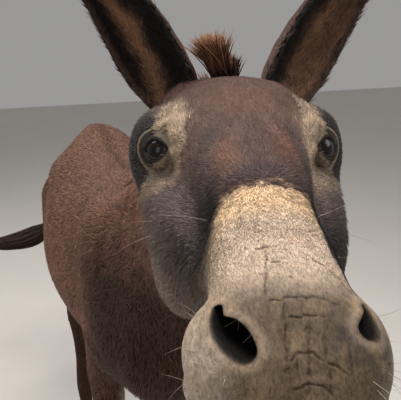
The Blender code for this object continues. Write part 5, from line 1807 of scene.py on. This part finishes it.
def bristle_tree():
    """Nodes that set one bowed tapering hair on every point, along its way and as long as it says."""
    tree = bpy.data.node_groups.new("bristles", "GeometryNodeTree")
    tree.interface.new_socket("Geometry", in_out="INPUT", socket_type="NodeSocketGeometry")
    for name, kind, value in (("Thickness", "NodeSocketFloat", 0.0003), ("Bow", "NodeSocketFloat", 0.16),
                              ("Seed", "NodeSocketInt", 7), ("Finish", "NodeSocketMaterial", None)):
        socket = tree.interface.new_socket(name, in_out="INPUT", socket_type=kind)
        if value is not None:
            socket.default_value = value
    tree.interface.new_socket("Geometry", in_out="OUTPUT", socket_type="NodeSocketGeometry")

    def add(kind, settings=None, **inputs):
        node = tree.nodes.new(kind)
        for name, value in (settings or {}).items():
            setattr(node, name, value)
        for name, value in inputs.items():
            socket = next(s for s in node.inputs if s.enabled and s.name.replace(" ", "_") == name)
            if isinstance(value, bpy.types.NodeSocket):
                tree.links.new(value, socket)
            else:
                socket.default_value = value
        return node

    given = add("NodeGroupInput").outputs
    bend = add("ShaderNodeCombineXYZ", X=given["Bow"], Z=0.55)
    stem = add("GeometryNodeCurveQuadraticBezier", Resolution=7, Start=(0, 0, 0), Middle=bend.outputs[0],
               End=(0.0, 0.0, 1.0))
    share = add("GeometryNodeSplineParameter").outputs["Factor"]
    taper = add("ShaderNodeMapRange", Value=share, To_Min=1.0, To_Max=0.12)
    thick = add("ShaderNodeMath", {"operation": "MULTIPLY"})
    tree.links.new(taper.outputs[0], thick.inputs[0])
    tree.links.new(given["Thickness"], thick.inputs[1])
    way = add("GeometryNodeInputNamedAttribute", {"data_type": "FLOAT_VECTOR"}, Name="way")
    long = add("GeometryNodeInputNamedAttribute", {"data_type": "FLOAT"}, Name="long")
    turned = add("FunctionNodeAlignRotationToVector", {"axis": "Z"}, Vector=way.outputs[0])
    roll = add("FunctionNodeRandomValue", {"data_type": "FLOAT"}, Min=-1.2, Max=1.2, Seed=given["Seed"])
    rolled = next(s for s in roll.outputs if s.enabled)
    spin = add("FunctionNodeAxisAngleToRotation", Axis=(0, 0, 1), Angle=rolled)
    rotation = add("FunctionNodeRotateRotation", {"rotation_space": "LOCAL"}, Rotation=turned.outputs[0],
                   Rotate_By=spin.outputs[0])
    lines = add("GeometryNodeInstanceOnPoints", Points=given["Geometry"], Instance=stem.outputs[0],
                Rotation=rotation.outputs[0], Scale=long.outputs[0])
    whole = add("GeometryNodeRealizeInstances", Geometry=lines.outputs[0])
    ring = add("GeometryNodeCurvePrimitiveCircle", Resolution=5, Radius=1.0)
    tubes = add("GeometryNodeCurveToMesh", Curve=whole.outputs[0], Profile_Curve=ring.outputs[0],
                Scale=thick.outputs[0], Fill_Caps=True)
    real = add("GeometryNodeRealizeInstances", Geometry=tubes.outputs[0])
    named = add("GeometryNodeSetMaterial", Geometry=real.outputs[0], Material=given["Finish"])
    tree.links.new(named.outputs[0], add("NodeGroupOutput").inputs[0])
    return tree


bristles = bristle_tree()


def bristle_piece(name, places, ways, lengths, finish, thickness, bow, seed):
    """Whiskers or lashes at the given places, as one plain mesh."""
    mesh = bpy.data.meshes.new("roots")
    mesh.from_pydata((places + np.array(BODY)).tolist(), [], [])
    add_note(mesh, "way", "FLOAT_VECTOR", ways)
    add_note(mesh, "long", "FLOAT", lengths)
    work = added("roots", mesh)
    modifier = work.modifiers.new("bristles", "NODES")
    modifier.node_group = bristles
    inputs = [item for item in bristles.interface.items_tree if item.in_out == "INPUT"]
    socket_of = {item.name: item.identifier for item in inputs}
    for key, value in (("Thickness", thickness), ("Bow", bow), ("Seed", seed), ("Finish", finish.material)):
        modifier[socket_of[key]] = value
    made = bpy.data.meshes.new_from_object(work.evaluated_get(bpy.context.evaluated_depsgraph_get()))
    bpy.data.objects.remove(work)
    made.name = name
    made.shade_smooth()
    return riding(name, made)


WHISKER_FIELDS = (   # name, number, low and high corner in the head's axes, length, tone, spread downwards
    ("whiskers_lips", 60, (-0.066, 0.235, -0.088), (0.066, 0.325, -0.050), (0.012, 0.034), 0.35),
    ("whiskers_chin", 60, (-0.056, 0.215, -0.140), (0.050, 0.300, -0.096), (0.014, 0.040), 0.75),
    ("whiskers_nose", 26, (-0.064, 0.240, -0.055), (0.064, 0.320, -0.014), (0.008, 0.022), 0.10),
    ("whiskers_cheek", 16, (-0.110, 0.030, -0.070), (0.110, 0.200, -0.010), (0.020, 0.045), 0.30),
)
WHISKER_THICKNESS, WHISKER_BOW = 0.00014, 0.10
tones = {"pale": Finish("pale_whisker", Roughness=0.35), "dark": Finish("dark_whisker", Roughness=0.35)}
for key, low, high in (("pale", (0.50, 0.42, 0.33, 1), (0.70, 0.62, 0.52, 1)),
                       ("dark", (0.010, 0.008, 0.007, 1), (0.05, 0.035, 0.028, 1))):
    made = tones[key]
    along_it = made.noise(made.out(made.node("ShaderNodeTexCoord"), "Object"), 120.0, 2.0)
    made.to("Base Color", made.mixed(along_it, low, high))

for number, (name, wanted, low, high, (short, long), down) in enumerate(WHISKER_FIELDS):
    within = ((head_middles > low) & (head_middles < high)).all(1) & ~is_ear
    within &= past_nostril(head_middles) > 0.008
    within &= (np.abs(lateral) > 0.028) | (up < -0.062)
    for tone in ("pale", "dark"):
        roots = sow(np.flatnonzero(within), wanted // 2, 600 + number * 2 + (tone == "dark"))
        chance = roots["chance"]
        ways = roots["normal"] + np.array((0, 0, -down)) + 0.22 * chance.normal(size=(wanted // 2, 3))
        lengths = chance.uniform(short, long, wanted // 2)
        bristle_piece(f"{name}_{tone}", roots["place"], unit_rows(ways), lengths,
                      tones[tone], WHISKER_THICKNESS, WHISKER_BOW, number)

LASHES = 34                # on each upper lid
LASH_TURNS = (0.22 * math.pi, 0.92 * math.pi)      # first and last, round the opening from its inner corner
LASH_PAST, LASH_HEIGHT = 0.0007, 0.0018            # past the lid's edge, and over the eyeball
LASH_DROOP = np.array((0.25, 0.0, -0.30))
LASH_LENGTHS, LASH_THICKNESS, LASH_BOW = (0.0055, 0.0095), 0.00020, -0.16
for side, word in SIDE_WORDS:
    chance = np.random.default_rng(500 + side)
    turns = np.linspace(*LASH_TURNS, LASHES) + 0.03 * chance.normal(size=LASHES)
    cosine, sine = np.cos(turns), np.sin(turns)
    angle = lid_edge(cosine, sine) + LASH_PAST / EYE_RADIUS
    around = cosine[:, None] * OPENING_IN + sine[:, None] * OPENING_UP
    unit = np.cos(angle)[:, None] * OPENING_FACES + np.sin(angle)[:, None] * around
    places = out_of_head(unit * mirror(side) * (EYE_RADIUS + LASH_HEIGHT) + eye_middle(side))
    ways = (unit * 0.75 + around * 0.45 + LASH_DROOP) * mirror(side)
    ways = unit_rows(ways + 0.10 * chance.normal(size=(LASHES, 3)))
    lengths = chance.uniform(*LASH_LENGTHS, LASHES)
    bristle_piece(f"lashes_{word}", places, unit_rows(ways @ HEAD_TURN), lengths,
                  tones["dark"], LASH_THICKNESS, LASH_BOW, 40 + side)


# ---------------------------------------------------------------- floor and light
# The animal stands on a plain pale floor inside a pale surround. Four soft lamps stand round its head: one
# overhead, a weak one before its right side, one before its left side, and the strongest high behind it.

floor = Finish("pale_floor", Roughness=0.85)
sand = floor.noise(floor.out(floor.node("ShaderNodeTexCoord"), "Object"), 3.0, 4.0)
floor.to("Base Color", floor.mixed(sand, (0.60, 0.57, 0.53, 1), (0.68, 0.65, 0.61, 1)))
ground = bpy.data.meshes.new("floor")
ground.from_pydata([(-8, -8, 0), (8, -8, 0), (8, 8, 0), (-8, 8, 0)], [], [(0, 1, 2, 3)])
ground.materials.append(floor.material)
added("floor", ground)

LAMPS = (   # place from between the eyes, size, power, colour
    (Vector((0.30, -0.05, 2.1)), 1.2, 46.0, (1.0, 0.97, 0.93)),
    (Vector((-2.1, -1.3, 1.0)), 1.6, 12.0, (0.95, 0.97, 1.0)),
    (Vector((2.0, -0.6, 1.3)), 1.6, 22.0, (0.97, 0.98, 1.0)),
    (Vector((-1.1, 1.9, 2.0)), 1.4, 80.0, (1.0, 0.97, 0.93)),
)
for place, size, power, tone in LAMPS:
    lamp = added("softbox", bpy.data.lights.new("softbox", "AREA"))
    lamp.data.size, lamp.data.energy, lamp.data.color = size, power, tone
    lamp.location = BETWEEN_EYES + place
    lamp.rotation_euler = (-place).to_track_quat("-Z", "Y").to_euler()

world = bpy.data.worlds.new("studio")
bpy.context.scene.world = world
world.use_nodes = True
world.node_tree.nodes["Background"].inputs["Color"].default_value = (0.84, 0.83, 0.82, 1.0)
world.node_tree.nodes["Background"].inputs["Strength"].default_value = 0.38
bpy.context.scene.view_settings.view_transform = "Standard"
